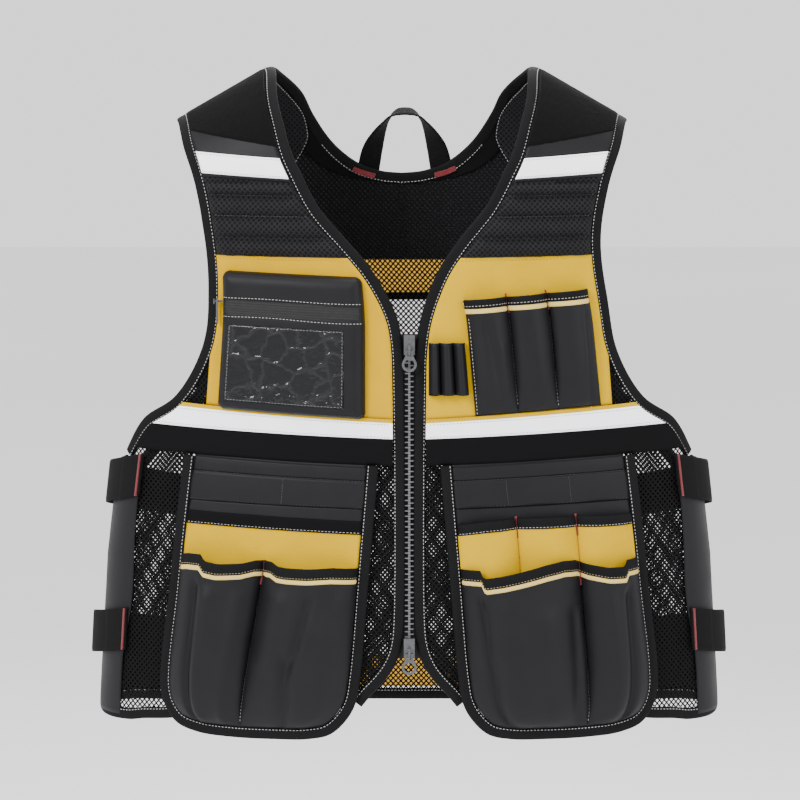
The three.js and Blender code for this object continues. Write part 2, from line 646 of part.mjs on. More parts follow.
for (const { name, side } of SIDES) {
  addMesh(`tool_panel_${name}`, panel({
    columns: even(6), rows: [0, 0.2, 0.4, 0.6, 0.8, 0.88, 0.94, 0.98, 1], place: mirrored(side, toolPlace),
    inner: constant(HANGING_LAYER), outer: constant(HANGING_TOP),
  }), 'black');
  const tierAt = (t) => TIERS[clamp(Math.floor(t * 3), 0, 2)];
  addMesh(`tool_bands_${name}`, panel({
    columns: even(6), rows: [0, 0.32, 0.334, 0.66, 0.674, 1],
    place: mirrored(side, inTool(bandZ(...TIERS[0].top), bandZ(...TIERS[2].low), GAP)),
    inner: constant(POCKET_LAYER), outer: (s, t) => POCKET_LAYER + tierAt(t).thick,
  }), 'black');
  const seams = [SEAMS[name].top];
  const mouth = mouthOf(name);
  const below = (s) => mouth(s) - MOUTH_BINDING - GAP;
  const base = POCKET_LAYER + CLOTH + LAYER_GAP;
  compartments(`lower_pocket_${name}`, side, {
    place: inTool(below, bandZ(0.977, 0.977), GAP), seams, depth: LOWER_POCKET_DEPTH, base, look: 'black',
  });
  mouthBinding(`lower_pocket_binding_${name}`, side, {
    place: inTool(mouth, (s) => mouth(s) - MOUTH_BINDING, GAP), seams, depth: LOWER_POCKET_DEPTH, base,
  });
}

// Left: plain yellow facing behind the lower pocket. Right: yellow pocket in three compartments
addMesh('yellow_facing_left', panel({
  columns: even(8), rows: even(2),
  place: mirrored(-1, inTool(bandZ(0.685, 0.676), bandZ(0.775, 0.77), GAP)),
  inner: constant(POCKET_LAYER), outer: constant(POCKET_LAYER + CLOTH),
}), 'yellow');
const UPPER_SEAMS = [0.33, 0.67];
const upperMouth = bandZ(0.69, 0.681);
compartments('upper_pocket_right', 1, {
  place: inTool((s) => upperMouth(s) - MOUTH_BINDING - GAP, bandZ(0.757, 0.748), GAP),
  seams: UPPER_SEAMS, depth: UPPER_POCKET_DEPTH, base: POCKET_LAYER, look: 'yellow', rows: [0, 0.4, 0.75, 1],
});
mouthBinding('upper_pocket_binding_right', 1, {
  place: inTool(upperMouth, (s) => upperMouth(s) - MOUTH_BINDING, GAP),
  seams: UPPER_SEAMS, depth: UPPER_POCKET_DEPTH, base: POCKET_LAYER,
});

// Four-sided pieces on the chest: corners as shares of HALF_WIDTH and HEIGHT
function chestPlace({ topIn, topOut, lowIn, lowOut }) {
  return (s, t) => {
    const x = mix(mix(topIn.x, topOut.x, s), mix(lowIn.x, lowOut.x, s), t) * HALF_WIDTH;
    const z = mix(mix(topIn.z, topOut.z, s), mix(lowIn.z, lowOut.z, s), t) * -HEIGHT;
    return flat(x, z);
  };
}
const CHEST_LAYER = FIRST_LAYER + CLOTH + LAYER_GAP;

// Right chest: pen pocket in three compartments and a block of three pen loops
const PEN = {
  topIn: { x: 0.174, z: 0.353 }, topOut: { x: 0.563, z: 0.34 },
  lowIn: { x: 0.206, z: 0.512 }, lowOut: { x: 0.6, z: 0.501 },
};
const PEN_MOUTH = {
  topIn: { x: 0.17, z: 0.339 }, topOut: { x: 0.56, z: 0.326 },
  lowIn: { x: 0.173, z: 0.352 }, lowOut: { x: 0.562, z: 0.339 },
};
const penShape = { seams: [0.34, 0.66], depth: PEN_POCKET_DEPTH, base: CHEST_LAYER };
compartments('pen_pocket', 1, { ...penShape, place: chestPlace(PEN), look: 'black', rows: [0, 0.35, 0.65, 0.85, 1] });
mouthBinding('pen_pocket_binding', 1, { ...penShape, place: chestPlace(PEN_MOUTH) });
const PEN_LOOPS = {
  topIn: { x: 0.06, z: 0.402 }, topOut: { x: 0.172, z: 0.402 },
  lowIn: { x: 0.06, z: 0.48 }, lowOut: { x: 0.186, z: 0.48 },
};
const loopSeams = [0.3, 0.66];
addMesh('pen_loops', panel({
  columns: columnsFor(loopSeams, 4), rows: even(1), place: chestPlace(PEN_LOOPS),
  inner: (s) => CHEST_LAYER + swell(s, 0, loopSeams, PEN_LOOP_DEPTH),
  outer: (s) => CHEST_LAYER + swell(s, 0, loopSeams, PEN_LOOP_DEPTH) + POCKET_WALL,
}), 'black');

// Left chest: zipped pocket, raised from the yellow cloth with soft rounded borders
const POUCH = {
  topIn: { x: 0.148, z: 0.305 }, topOut: { x: 0.567, z: 0.297 },
  lowIn: { x: 0.143, z: 0.512 }, lowOut: { x: 0.598, z: 0.501 },
};
const pouchPlace = chestPlace(POUCH);
const BORDER = [0, 0.02, 0.06, 0.12, 0.5, 0.88, 0.94, 0.98, 1];
const shoulderOf = (share) => Math.sqrt(1 - (1 - clamp(share / 0.12, 0, 1)) ** 2);
const pouchRise = (s, t) => CHEST_POCKET_DEPTH * shoulderOf(Math.min(s, 1 - s)) * shoulderOf(Math.min(t, 1 - t));
const pouchTop = (s, t) => CHEST_LAYER + pouchRise(s, t) + POCKET_WALL;
addMesh('chest_pocket', panel({
  columns: BORDER, rows: BORDER, place: mirrored(-1, pouchPlace),
  inner: (s, t) => CHEST_LAYER + pouchRise(s, t), outer: pouchTop,
}), 'black');
const ZIP_BAND = { top: 0.17, low: 0.29 };
addMesh('chest_zip', panel({
  columns: [0.1, 0.3, 0.5, 0.7, 0.9], rows: even(1),
  place: mirrored(-1, (s, t) => pouchPlace(s, mix(ZIP_BAND.top, ZIP_BAND.low, t))),
  inner: (s) => pouchTop(s, 0.5) + LAYER_GAP, outer: (s) => pouchTop(s, 0.5) + LAYER_GAP + 1.4,
}), 'zip');

// Flat clear window, tangent to the pocket's face
function windowBody() {
  const [u, w] = pouchPlace(0.5, 0.62);
  const middle = clothPoint(-u, w, pouchTop(0.5, 0.5) + GAP);
  const normal = clothPoint(-u, w, pouchTop(0.5, 0.5) + 1).sub(clothPoint(-u, w, pouchTop(0.5, 0.5))).normalize();
  const across = new THREE.Vector3(1, 0, 0).addScaledVector(normal, -normal.x).normalize();
  const up = normal.clone().cross(across).multiplyScalar(-1);
  if (up.z < 0) up.multiplyScalar(-1);
  const geometry = new THREE.BoxGeometry(WINDOW_WIDTH, WINDOW_HEIGHT, WINDOW_THICK);
  const basis = new THREE.Matrix4().makeBasis(across, up, across.clone().cross(up));
  const outwards = across.clone().cross(up).dot(normal) > 0 ? 1 : -1;
  geometry.translate(0, 0, outwards * (WINDOW_THICK / 2 + GAP));
  geometry.applyMatrix4(basis);
  geometry.translate(middle.x, middle.y, middle.z);
  return geometry;
}
addMesh('id_window', windowBody(), 'clear');

// Zip chain on its tape, between the front edges
const CHAIN = { top: 0.39, low: 0.877 };
const chainMiddle = -0.4;
addMesh('zip_tape', panel({
  columns: even(1), rows: even(6),
  place: (s, t) => [mix(-TAPE_WIDTH / 2, TAPE_WIDTH / 2, s), frontHeight(-mix(CHAIN.top, CHAIN.low, t) * HEIGHT)],
  inner: constant(-BINDING_TOP - GAP - 1), outer: constant(-BINDING_TOP - GAP),
}), 'band');
addMesh('zip_chain', panel({
  columns: even(1), rows: even(6),
  place: (s, t) => [mix(-CHAIN_WIDTH / 2, CHAIN_WIDTH / 2, s), frontHeight(-mix(CHAIN.top, CHAIN.low, t) * HEIGHT)],
  inner: constant(-BINDING_TOP), outer: constant(chainMiddle + CHAIN_THICK / 2),
}), 'zip');

// Booleans for the metal fittings
const wasm = await Module();
wasm.setup();
function solidOf(geometry) {
  const bare = geometry.clone();
  bare.deleteAttribute('normal');
  bare.deleteAttribute('uv');
  const merged = mergeVertices(bare, 1e-4);
  return new wasm.Manifold(new wasm.Mesh({
    numProp: 3,
    vertProperties: new Float32Array(merged.attributes.position.array),
    triVerts: new Uint32Array(merged.index.array),
  }));
}
function geometryOf(solid) {
  const mesh = solid.getMesh();
  const geometry = new THREE.BufferGeometry();
  geometry.setAttribute('position', new THREE.BufferAttribute(new Float32Array(mesh.vertProperties), 3));
  geometry.setIndex(new THREE.BufferAttribute(new Uint32Array(mesh.triVerts), 1));
  geometry.computeVertexNormals();
  return geometry;
}
const joined = (...list) => geometryOf(list.map(solidOf).reduce((all, one) => all.add(one)));

function boxAt(width, depth, height, x, y, z) {
  const geometry = new THREE.BoxGeometry(width, depth, height);
  geometry.translate(x, y, z);
  return geometry;
}

// Slider with its arch, local origin at the pull's pivot, front towards -Y
const PIVOT_OUT = ARCH_ROOM / 2;
const archRise = ARCH_ROOM + ARCH_BAR;
function sliderBody(coreDepth) {
  const middle = SLIDER_LENGTH * 0.3;
  const block = boxAt(SLIDER_WIDTH, SLIDER_THICK, SLIDER_LENGTH, 0, PIVOT_OUT + SLIDER_THICK / 2, middle);
  const coreMiddle = PIVOT_OUT + SLIDER_THICK + coreDepth / 2 - GAP;
  const core = boxAt(SLIDER_CORE, coreDepth + 2 * GAP, SLIDER_LENGTH - 2 * GAP, 0, coreMiddle, middle);
  const bar = boxAt(ARCH_WIDTH, ARCH_BAR, 10, 0, PIVOT_OUT - ARCH_ROOM - ARCH_BAR / 2, 1.4);
  const legDepth = archRise + 1;
  const legs = [-2.9, 5.7].map((z) => boxAt(ARCH_WIDTH, legDepth, 1.4, 0, PIVOT_OUT + 1 - legDepth / 2, z));
  return joined(block, core, bar, ...legs);
}

const plate = (shape, thick) => {
  const geometry = new THREE.ExtrudeGeometry(shape, { depth: thick, bevelEnabled: false, curveSegments: 8 });
  geometry.translate(0, 0, -thick / 2);
  geometry.rotateX(Math.PI / 2);
  return geometry;
};
function polygon(points) {
  return new THREE.Shape(points.map(([x, y]) => new THREE.Vector2(x, y)));
}
const arcPoints = (x, y, radius, from, to, count) =>
  even(count).map((share) => {
    const angle = mix(from, to, share);
    return [x + radius * Math.cos(angle), y + radius * Math.sin(angle)];
  });

// Pull: a crossbar under the arch, two arms, and a ring below
function pullBody() {
  const half = 3.9;
  const centre = -PULL_LENGTH + PULL_RING;
  const neck = -PULL_LENGTH + PULL_RING * 2.1;
  const outer = polygon([
    [-half, 0.8], [-half, neck],
    ...arcPoints(0, centre, PULL_RING, 0.8 * Math.PI, 2.2 * Math.PI, 14),
    [half, neck], [half, 0.8],
  ]);
  const eye = polygon([[-1.7, -4.7], [1.7, -4.7], [1.7, -0.8], [-1.7, -0.8]]);
  const hole = polygon(arcPoints(0, centre, PULL_HOLE, 0, 2 * Math.PI, 16).slice(0, -1));
  const body = solidOf(plate(outer, PULL_THICK));
  const cutEye = body.subtract(solidOf(plate(eye, PULL_THICK * 3)));
  return geometryOf(cutEye.subtract(solidOf(plate(hole, PULL_THICK * 3))));
}

const SLIDERS = [{ name: 'top', z: 0.4135 }, { name: 'bottom', z: 0.868 }];
for (const slider of SLIDERS) {
  const z = -slider.z * HEIGHT;
  const face = clothPoint(0, frontHeight(z - SLIDER_LENGTH / 2), chainMiddle + CHAIN_THICK / 2 + GAP);
  const seatY = Math.min(face.y, clothPoint(0, frontHeight(z), BINDING_TOP + GAP).y - 0.3);
  const pivot = new THREE.Vector3(0, seatY - SLIDER_THICK - PIVOT_OUT, z);
  const body = addMesh(`${slider.name}_slider`, sliderBody(face.y - seatY), 'metal');
  body.position.copy(pivot);
  const pull = addMesh(`${slider.name}_pull`, pullBody(), 'metal');
  pull.position.copy(pivot);
}

// Chest pocket slider: a bar at the pocket's end with a long loop hanging from it
const CHEST_PULL = { length: 25, width: 9, wire: 1.8, bar: 2 };
const [endU, endW] = pouchPlace(1, mix(ZIP_BAND.top, ZIP_BAND.low, 0.5));
const endPoint = clothPoint(-endU, endW, 0);
const barY = endPoint.y - FIRST_LAYER - CLOTH - CHEST_PULL.width * 0.62;
const barZ = endPoint.z;
const barRun = 8;
const barStart = endPoint.x - 8.5;
addMesh('chest_zip_slider', joined(
  boxAt(barRun, CHEST_PULL.bar, CHEST_PULL.bar, barStart + barRun / 2 - 2, barY, barZ),
  boxAt(1.2, 5, 5, barStart - 2.4, barY, barZ),
), 'metal');
function chestPullBody() {
  const { length, width, wire } = CHEST_PULL;
  const top = -(width / 2 - wire - CHEST_PULL.bar / 2 - 0.4);
  const low = top - length + width;
  const link = (radius) => polygon([
    ...arcPoints(0, top, radius, 0, Math.PI, 8), ...arcPoints(0, low, radius, Math.PI, 2 * Math.PI, 8),
  ]);
  const body = solidOf(plate(link(width / 2), wire));
  const geometry = geometryOf(body.subtract(solidOf(plate(link(width / 2 - wire), wire * 3))));
  geometry.rotateZ(Math.PI / 2);
  return geometry;
}
const chestPull = addMesh('chest_zip_pull', chestPullBody(), 'metal');
chestPull.position.set(barStart + 0.6, barY, barZ);

// A flat webbing strap along a curve, with its width direction given at each point
function ribbon(points, directions, width, thick, count) {
  const curve = new THREE.CatmullRomCurve3(points, false, 'centripetal');
  const wide = new THREE.CatmullRomCurve3(directions, false, 'centripetal');
  const rings = even(count).map((share) => {
    const centre = curve.getPoint(share);
    const tangent = curve.getTangent(share);
    const across = wide.getPoint(share);
    across.addScaledVector(tangent, -across.dot(tangent)).normalize();
    const normal = tangent.clone().cross(across).normalize();
    return [[-1, -1], [1, -1], [1, 1], [-1, 1]].map(([i, j]) =>
      centre.clone().addScaledVector(across, (i * width) / 2).addScaledVector(normal, (j * thick) / 2));
  });
  return sweep(rings);
}

// Side straps: from a stitched end on the front strip, round the open side, to the back
const STRAPS = [
  { name: 'upper', front: 0.614, back: 0.67, x: 0.85, slack: 5 },
  { name: 'lower', front: 0.85, back: 0.905, x: 0.9, slack: 8 },
];
const backHeight = (z) => 2 * SHOULDER_ARC - frontHeight(z);

// A point round the body at height z, past the open side and onto the back
function roundPoint(side, run, z, offset) {
  const half = sideRun(z);
  if (run <= half) return clothPoint(side * run, frontHeight(z), offset);
  return clothPoint(side * (2 * half - run), backHeight(z), offset);
}
const STRAP_STEPS = 18;
const STRAP_BACK_END = 1.5;
for (const { name, side } of SIDES) {
  for (const strap of STRAPS) {
    const start = ringRun(strap.x * HALF_WIDTH, -strap.front * HEIGHT);
    const offset = BINDING_TOP + 1.4 * LAYER_GAP + WEBBING / 2;
    const row = (rise) => even(STRAP_STEPS).map((share) => {
      const z = -mix(strap.front, strap.back, share) * HEIGHT;
      const half = sideRun(z);
      const run = mix(start, STRAP_BACK_END * half, share);
      const stand = strap.slack * Math.exp(-(((run - half) / 34) ** 2));
      return roundPoint(side, run + sideRun(z + rise) - half, z + rise, offset + stand);
    });
    const points = row(0);
    const low = row(-STRAP_WIDTH / 2);
    const up = row(STRAP_WIDTH / 2).map((point, i) => point.sub(low[i]).normalize());
    addMesh(`${strap.name}_strap_${name}`, ribbon(points, up, STRAP_WIDTH, WEBBING, STRAP_STEPS), 'band');
  }
}

// Grab loop behind the neck: flat feet on the back, turned on edge at the top
const loopLean = -YOKE_LEAN;
const neckBottom = -NECKLINE[NECKLINE.length - 1].z * HEIGHT;
const footY = clothPoint(0, backHeight(neckBottom - 20), BINDING_TOP + WEBBING / 2).y;
const loopPoints = [];
const loopWide = [];
const LOOP_ROWS = [
  { across: 0.5, rise: -0.36, turned: 0 }, { across: 0.49, rise: 0.1, turned: 0 },
  { across: 0.44, rise: 0.55, turned: 0.2 }, { across: 0.36, rise: 0.88, turned: 0.65 },
  { across: 0.2, rise: 0.99, turned: 1 }, { across: 0, rise: 1, turned: 1 },
];
for (const row of [...LOOP_ROWS, ...LOOP_ROWS.slice(0, -1).reverse().map((r) => ({ ...r, back: true }))]) {
  const side = row.back ? 1 : -1;
  loopPoints.push(new THREE.Vector3(
    loopLean + side * row.across * LOOP_SPREAD, footY, neckBottom + row.rise * LOOP_HEIGHT));
  loopWide.push(new THREE.Vector3(1 - row.turned, row.turned, 0));
}
const half = loopWide.length / 2;
loopWide.forEach((direction, i) => {
  if (i > half) direction.x *= -1;
});
addMesh('grab_loop', ribbon(loopPoints, loopWide, LOOP_WIDTH, WEBBING, 30), 'band');

export default vest;
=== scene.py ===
import json
import math

import bpy
import numpy as np
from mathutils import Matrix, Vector

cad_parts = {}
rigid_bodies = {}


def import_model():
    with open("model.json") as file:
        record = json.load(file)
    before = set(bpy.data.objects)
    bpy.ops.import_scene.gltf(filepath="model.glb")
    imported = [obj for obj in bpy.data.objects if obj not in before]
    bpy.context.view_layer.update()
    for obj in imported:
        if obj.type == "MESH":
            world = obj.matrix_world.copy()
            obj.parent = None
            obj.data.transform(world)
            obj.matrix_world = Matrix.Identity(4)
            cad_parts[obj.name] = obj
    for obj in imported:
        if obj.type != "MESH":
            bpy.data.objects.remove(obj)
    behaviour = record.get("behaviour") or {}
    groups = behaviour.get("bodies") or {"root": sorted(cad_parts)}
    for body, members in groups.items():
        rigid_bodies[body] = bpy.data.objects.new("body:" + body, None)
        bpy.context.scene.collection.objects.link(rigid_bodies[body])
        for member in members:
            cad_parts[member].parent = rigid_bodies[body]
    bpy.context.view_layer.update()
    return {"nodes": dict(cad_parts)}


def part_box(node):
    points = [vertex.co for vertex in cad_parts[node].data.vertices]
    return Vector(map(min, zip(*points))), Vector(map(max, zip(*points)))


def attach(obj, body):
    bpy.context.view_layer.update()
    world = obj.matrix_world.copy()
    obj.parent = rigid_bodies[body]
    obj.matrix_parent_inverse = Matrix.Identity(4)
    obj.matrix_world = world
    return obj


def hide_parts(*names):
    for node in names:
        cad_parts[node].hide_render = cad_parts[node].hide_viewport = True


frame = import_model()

# The cloth surface, in millimetres, as in the part's source
HEIGHT, HALF_WIDTH, HALF_DEPTH = 645.0, 306.0, 118.0
SIDE_RADIUS, SIDE_OPENING = 60.0, 12.0
DROP, ARC = 110.0, 145.0
RIDGE_HALF, RIDGE_SLOPE, RIDGE_RISE, LEAN = 131.0, 0.575, -3.5, 7.0
MM = 0.001
BIND_WIDTH, BIND_THICK, EDGE_GAP = 11.0, 5.0, 0.1
COVER = BIND_WIDTH + EDGE_GAP
MESH_TOP = 1.2
FIRST = MESH_TOP + 0.5
CLOTH = 1.2
BAND = FIRST + CLOTH + 0.5
BAND_TOP = BAND + CLOTH
HANGING = BIND_THICK / 2 + 0.5
HANGING_TOP = HANGING + CLOTH
POCKET = HANGING_TOP + 0.5
CHEST = BAND
PAD_TOP = FIRST + 3.0
HEM_Z = -HEIGHT * 0.991
HEM_CORNER = 18.0
RIDGE_SEAM = ARC * 1.07
SIDES = (("left", -1), ("right", 1))

SECTIONS = np.array([
    (0.171, 0.856, 0.864), (0.388, 0.873, 0.907), (0.589, 0.928, 0.941), (0.744, 0.967, 0.966),
    (1.0, 1.0, 1.0),
])
rng = np.random.default_rng(7)


def smooth(v):
    v = np.clip(v, 0, 1)
    return v * v * (3 - 2 * v)


def section_at(z):
    h = np.clip(-np.asarray(z, float) / HEIGHT, SECTIONS[0, 0], 1.02)
    past = np.maximum(h - 1, 0)
    half_w = HALF_WIDTH * (np.interp(h, SECTIONS[:, 0], SECTIONS[:, 1]) + past * 0.129)
    depth = HALF_DEPTH * (np.interp(h, SECTIONS[:, 0], SECTIONS[:, 2]) + past * 0.133)
    flank = half_w - SIDE_RADIUS
    broad = (flank**2 + depth**2 - SIDE_RADIUS**2) / (2 * (depth - SIDE_RADIUS))
    turn = np.arcsin(flank / (broad - SIDE_RADIUS))
    return depth, flank, broad, turn, broad * turn


def ring_point(u, z):
    depth, flank, broad, turn, run = section_at(z)
    side = np.where(u < 0, -1.0, 1.0)
    r = np.abs(u)
    a = np.minimum(r, run) / broad
    b = turn + np.maximum(r - run, 0) / SIDE_RADIUS
    on_front = r <= run
    x = np.where(on_front, broad * np.sin(a), flank + SIDE_RADIUS * np.sin(b))
    y = np.where(on_front, broad * np.cos(a) - broad + depth, SIDE_RADIUS * np.cos(b))
    return side * x, y


def ring_run(x, z):
    depth, flank, broad, turn, run = section_at(z)
    reach = np.abs(x)
    inner = broad * np.arcsin(np.clip(reach / broad, 0, 1))
    outer = run + SIDE_RADIUS * (np.arcsin(np.clip((reach - flank) / SIDE_RADIUS, -1, 1)) - turn)
    return np.where(reach <= broad * np.sin(turn), inner, outer)


def side_run(z):
    depth, flank, broad, turn, run = section_at(z)
    return run + SIDE_RADIUS * (math.pi / 2 - turn)


def ridge_height(x):
    return RIDGE_RISE - RIDGE_SLOPE * np.maximum(0, np.abs(x) - RIDGE_HALF)


def lean_at(z):
    return -LEAN * smooth((np.asarray(z) / HEIGHT + 0.388) / 0.17)


def surface(u, w):
    """A point of the cloth: u runs round the body, w up the front, over the shoulder and down the back."""
    u, w = np.broadcast_arrays(np.asarray(u, float), np.asarray(w, float))
    over = (w > 0) & (w < 2 * ARC)
    level = -DROP + np.where(w <= 0, w, 2 * ARC - w)
    x, depth = ring_point(u, np.where(over, -DROP, level))
    angle = np.clip(w / ARC, 0, 2) * math.pi / 2
    z = np.where(over, -DROP + (ridge_height(x) + DROP) * np.sin(angle), level)
    y = np.where(over, -depth * np.cos(angle), np.where(w <= 0, -depth, depth))
    return np.stack([x + lean_at(z), y, z], -1)


def cloth(u, w, offset=0.0):
    u, w = np.broadcast_arrays(np.asarray(u, float), np.asarray(w, float))
    across = surface(u + 0.5, w) - surface(u - 0.5, w)
    along = surface(u, w + 0.5) - surface(u, w - 0.5)
    normal = np.cross(across, along)
    normal /= np.linalg.norm(normal, axis=-1, keepdims=True)
    return surface(u, w) + normal * np.asarray(offset, float)[..., None]


def height_on(x, z, back=False):
    w = np.asarray(z, float) + DROP
    share = np.clip(w / (ridge_height(x) + DROP), 0, 1)
    w = np.where(w > 0, ARC * np.arcsin(share) / (math.pi / 2), w)
    return 2 * ARC - w if back else w


def flat(x, z, back=False):
    """Cloth coordinates of a place given by x and z, on the front or on the back."""
    x = np.asarray(x, float)
    side = np.where(x < 0, -1.0, 1.0)
    return np.stack([side * ring_run(x, np.minimum(z, -DROP)), height_on(x, z, back)], -1)


# The camera stands where the photograph was taken
ELEVATION, DISTANCE = math.radians(7.5), 4000.0
TARGET_X, TARGET_Z = -8.9, -329.0
CE, SE = math.cos(ELEVATION), math.sin(ELEVATION)
SCALE = 0.96 * DISTANCE / (DISTANCE - 105 * CE)


def seen(pixels, offset=0.0, back=False):
    """Cloth coordinates under points of the 800 by 800 view, on the front or on the back's inside."""
    pixels = np.asarray(pixels, float).reshape(-1, 2)
    sign = 1.0 if back else -1.0
    y = np.full(len(pixels), 100.0 * sign)
    dz = np.zeros(len(pixels))
    x = np.zeros(len(pixels))
    for _ in range(60):
        for _ in range(8):
            depth = DISTANCE + y * CE - dz * SE
            dz = ((400 - pixels[:, 1]) * SCALE * depth / DISTANCE - y * SE) / CE
        x = TARGET_X + (pixels[:, 0] - 400) * SCALE * depth / DISTANCE
        z = TARGET_Z + dz
        local = x - lean_at(z)
        level = np.minimum(z, -DROP)
        _, ring = ring_point(ring_run(local, level), level)
        share = np.clip((z + DROP) / (ridge_height(local) + DROP), 0, 1)
        ring = ring * np.sqrt(1 - share**2)
        y += ((ring + offset) * sign - y) * 0.5
    return flat(local, z, back)


def smooth_path(points, count):
    """Even points along a centripetal curve through the given ones."""
    p = np.asarray(points, float)
    p = np.vstack([2 * p[0] - p[1], p, 2 * p[-1] - p[-2]])
    out = []
    t = np.linspace(0, 1, 33)[:-1, None]
    for i in range(1, len(p) - 2):
        p0, p1, p2, p3 = p[i - 1 : i + 3]
        d0, d1, d2 = (max(np.linalg.norm(b - a), 1e-6) ** 0.5 for a, b in ((p0, p1), (p1, p2), (p2, p3)))
        m1 = ((p1 - p0) / d0 - (p2 - p0) / (d0 + d1) + (p2 - p1) / d1) * d1
        m2 = ((p2 - p1) / d1 - (p3 - p1) / (d1 + d2) + (p3 - p2) / d2) * d1
        ends = p1 * (2 * t**3 - 3 * t**2 + 1) + m1 * (t**3 - 2 * t**2 + t)
        out.append(ends + p2 * (3 * t**2 - 2 * t**3) + m2 * (t**3 - t**2))
    line = np.vstack([*out, p[-2:-1]])
    return resample(line, count)


def resample(line, count):
    run = np.concatenate([[0], np.cumsum(np.linalg.norm(np.diff(line, axis=0), axis=1))])
    at = np.linspace(0, run[-1], count + 1)
    return np.stack([np.interp(at, run, line[:, k]) for k in range(line.shape[1])], -1)


def offset_path(path, distance):
    d = np.gradient(path, axis=0)
    d /= np.linalg.norm(d, axis=1, keepdims=True)
    return path + np.stack([d[:, 1], -d[:, 0]], -1) * distance


def run_at(path, w):
    p = path if path[0, 1] < path[-1, 1] else path[::-1]
    return np.interp(w, np.maximum.accumulate(p[:, 1]), p[:, 0])


def outline(rows, back=False):
    rows = np.array(rows, float)
    return flat(rows[:, 0] * HALF_WIDTH, -rows[:, 1] * HEIGHT, back)


FRONT_EDGE = [
    (0.15, 0.95), (0.121, 0.933), (0.08, 0.912), (0.047, 0.889), (0.025, 0.86), (0.017, 0.825),
    (0.017, 0.465), (0.021, 0.409), (0.034, 0.37), (0.064, 0.331), (0.109, 0.291), (0.172, 0.252),
    (0.26, 0.202), (0.31, 0.157), (0.346, 0.121), (0.372, 0.079), (0.391, 0.045), (0.399, 0.008),
    (0.404, -0.003),
]
ARMHOLE = [
    (0.899, 0.578), (0.843, 0.528), (0.739, 0.49), (0.654, 0.417), (0.627, 0.333), (0.621, 0.271),
    (0.632, 0.217), (0.657, 0.161), (0.69, 0.116), (0.717, 0.082),
]
BACK_ARMHOLE = [
    (0.905, 0.640), (0.86, 0.600), (0.775, 0.560), (0.675, 0.485), (0.63, 0.395), (0.617, 0.31),
    (0.619, 0.271), (0.632, 0.217), (0.657, 0.161), (0.69, 0.116), (0.717, 0.082),
]
NECKLINE = [
    (0.382, 0.016), (0.32, 0.048), (0.288, 0.081), (0.229, 0.124), (0.147, 0.157), (0.065, 0.171),
    (0.0, 0.174),
]
FRONT_HEM = [(0.905, 0.990), (0.85, 0.986), (0.755, 0.981), (0.62, 0.966), (0.49, 0.956), (0.2, 0.953)]
BACK_HEM = [(0.905, 0.991), (0.6, 1.004), (0.3, 1.011), (0.0, 1.013)]
TOOL_PANEL = [
    (0.095, 0.586), (0.126, 0.76), (0.152, 0.902), (0.167, 0.943), (0.196, 0.969), (0.248, 0.992),
    (0.317, 1.0), (0.425, 1.002), (0.562, 1.002), (0.663, 0.998), (0.732, 0.986), (0.768, 0.964),
    (0.784, 0.938), (0.784, 0.899),
    (0.755, 0.781), (0.735, 0.69), (0.706, 0.577),
]
SIDE_STRIP = [(0.922, 0.95), (0.912, 0.888), (0.882, 0.803), (0.872, 0.713), (0.853, 0.604)]

front_edge = smooth_path(outline(FRONT_EDGE), 240)
armhole = smooth_path(np.vstack([outline(ARMHOLE), outline(BACK_ARMHOLE, True)[::-1]]), 320)


def side_edge(z, back):
    w = z + DROP
    return [side_run(z) - SIDE_OPENING / 2, 2 * ARC - w if back else w]


def side_and_hem(hem, back):
    arm_end = -HEIGHT * (BACK_ARMHOLE if back else ARMHOLE)[0][1]
    start = side_edge(arm_end - HEM_CORNER, back)
    low = side_edge(HEM_Z + HEM_CORNER, back)
    corner = side_edge(HEM_Z + HEM_CORNER * 0.3, back)
    corner[0] -= HEM_CORNER * 0.3
    middle = side_edge((arm_end + HEM_Z) / 2, back)
    top = armhole[-1] if back else armhole[0]
    return np.vstack([[top[0] + 2, top[1] + (start[1] - top[1]) * 0.35], start, middle, low, corner, hem])


front_hem = smooth_path(side_and_hem(outline(FRONT_HEM), False), 220)
back_hem = smooth_path(side_and_hem(outline(BACK_HEM, True), True), 220)
neckline = smooth_path(np.vstack([[front_edge[-1, 0], RIDGE_SEAM], outline(NECKLINE, True)]), 120)
tool_edge = smooth_path(outline(TOOL_PANEL), 260)
edge_inner = offset_path(front_edge, COVER)
arm_inner = offset_path(armhole, -COVER)
front_hem_inner = offset_path(front_hem, COVER)
back_hem_inner = offset_path(back_hem, -COVER)
tool_inner = offset_path(tool_edge, -COVER)


def side_part(path, level):
    """The part of a hem's line that runs up the side."""
    index = int(np.argmax(np.abs(path[:, 1] - level) < HEM_CORNER + COVER * 0.5))
    return path[: index + 1]


front_side = side_part(front_hem_inner, HEM_Z + DROP)
back_side = side_part(back_hem_inner, 2 * ARC - (HEM_Z + DROP))
lowest = int(tool_inner[:, 1].argmin())
tool_in, tool_out = tool_inner[: lowest + 1], tool_inner[lowest:]

# Materials


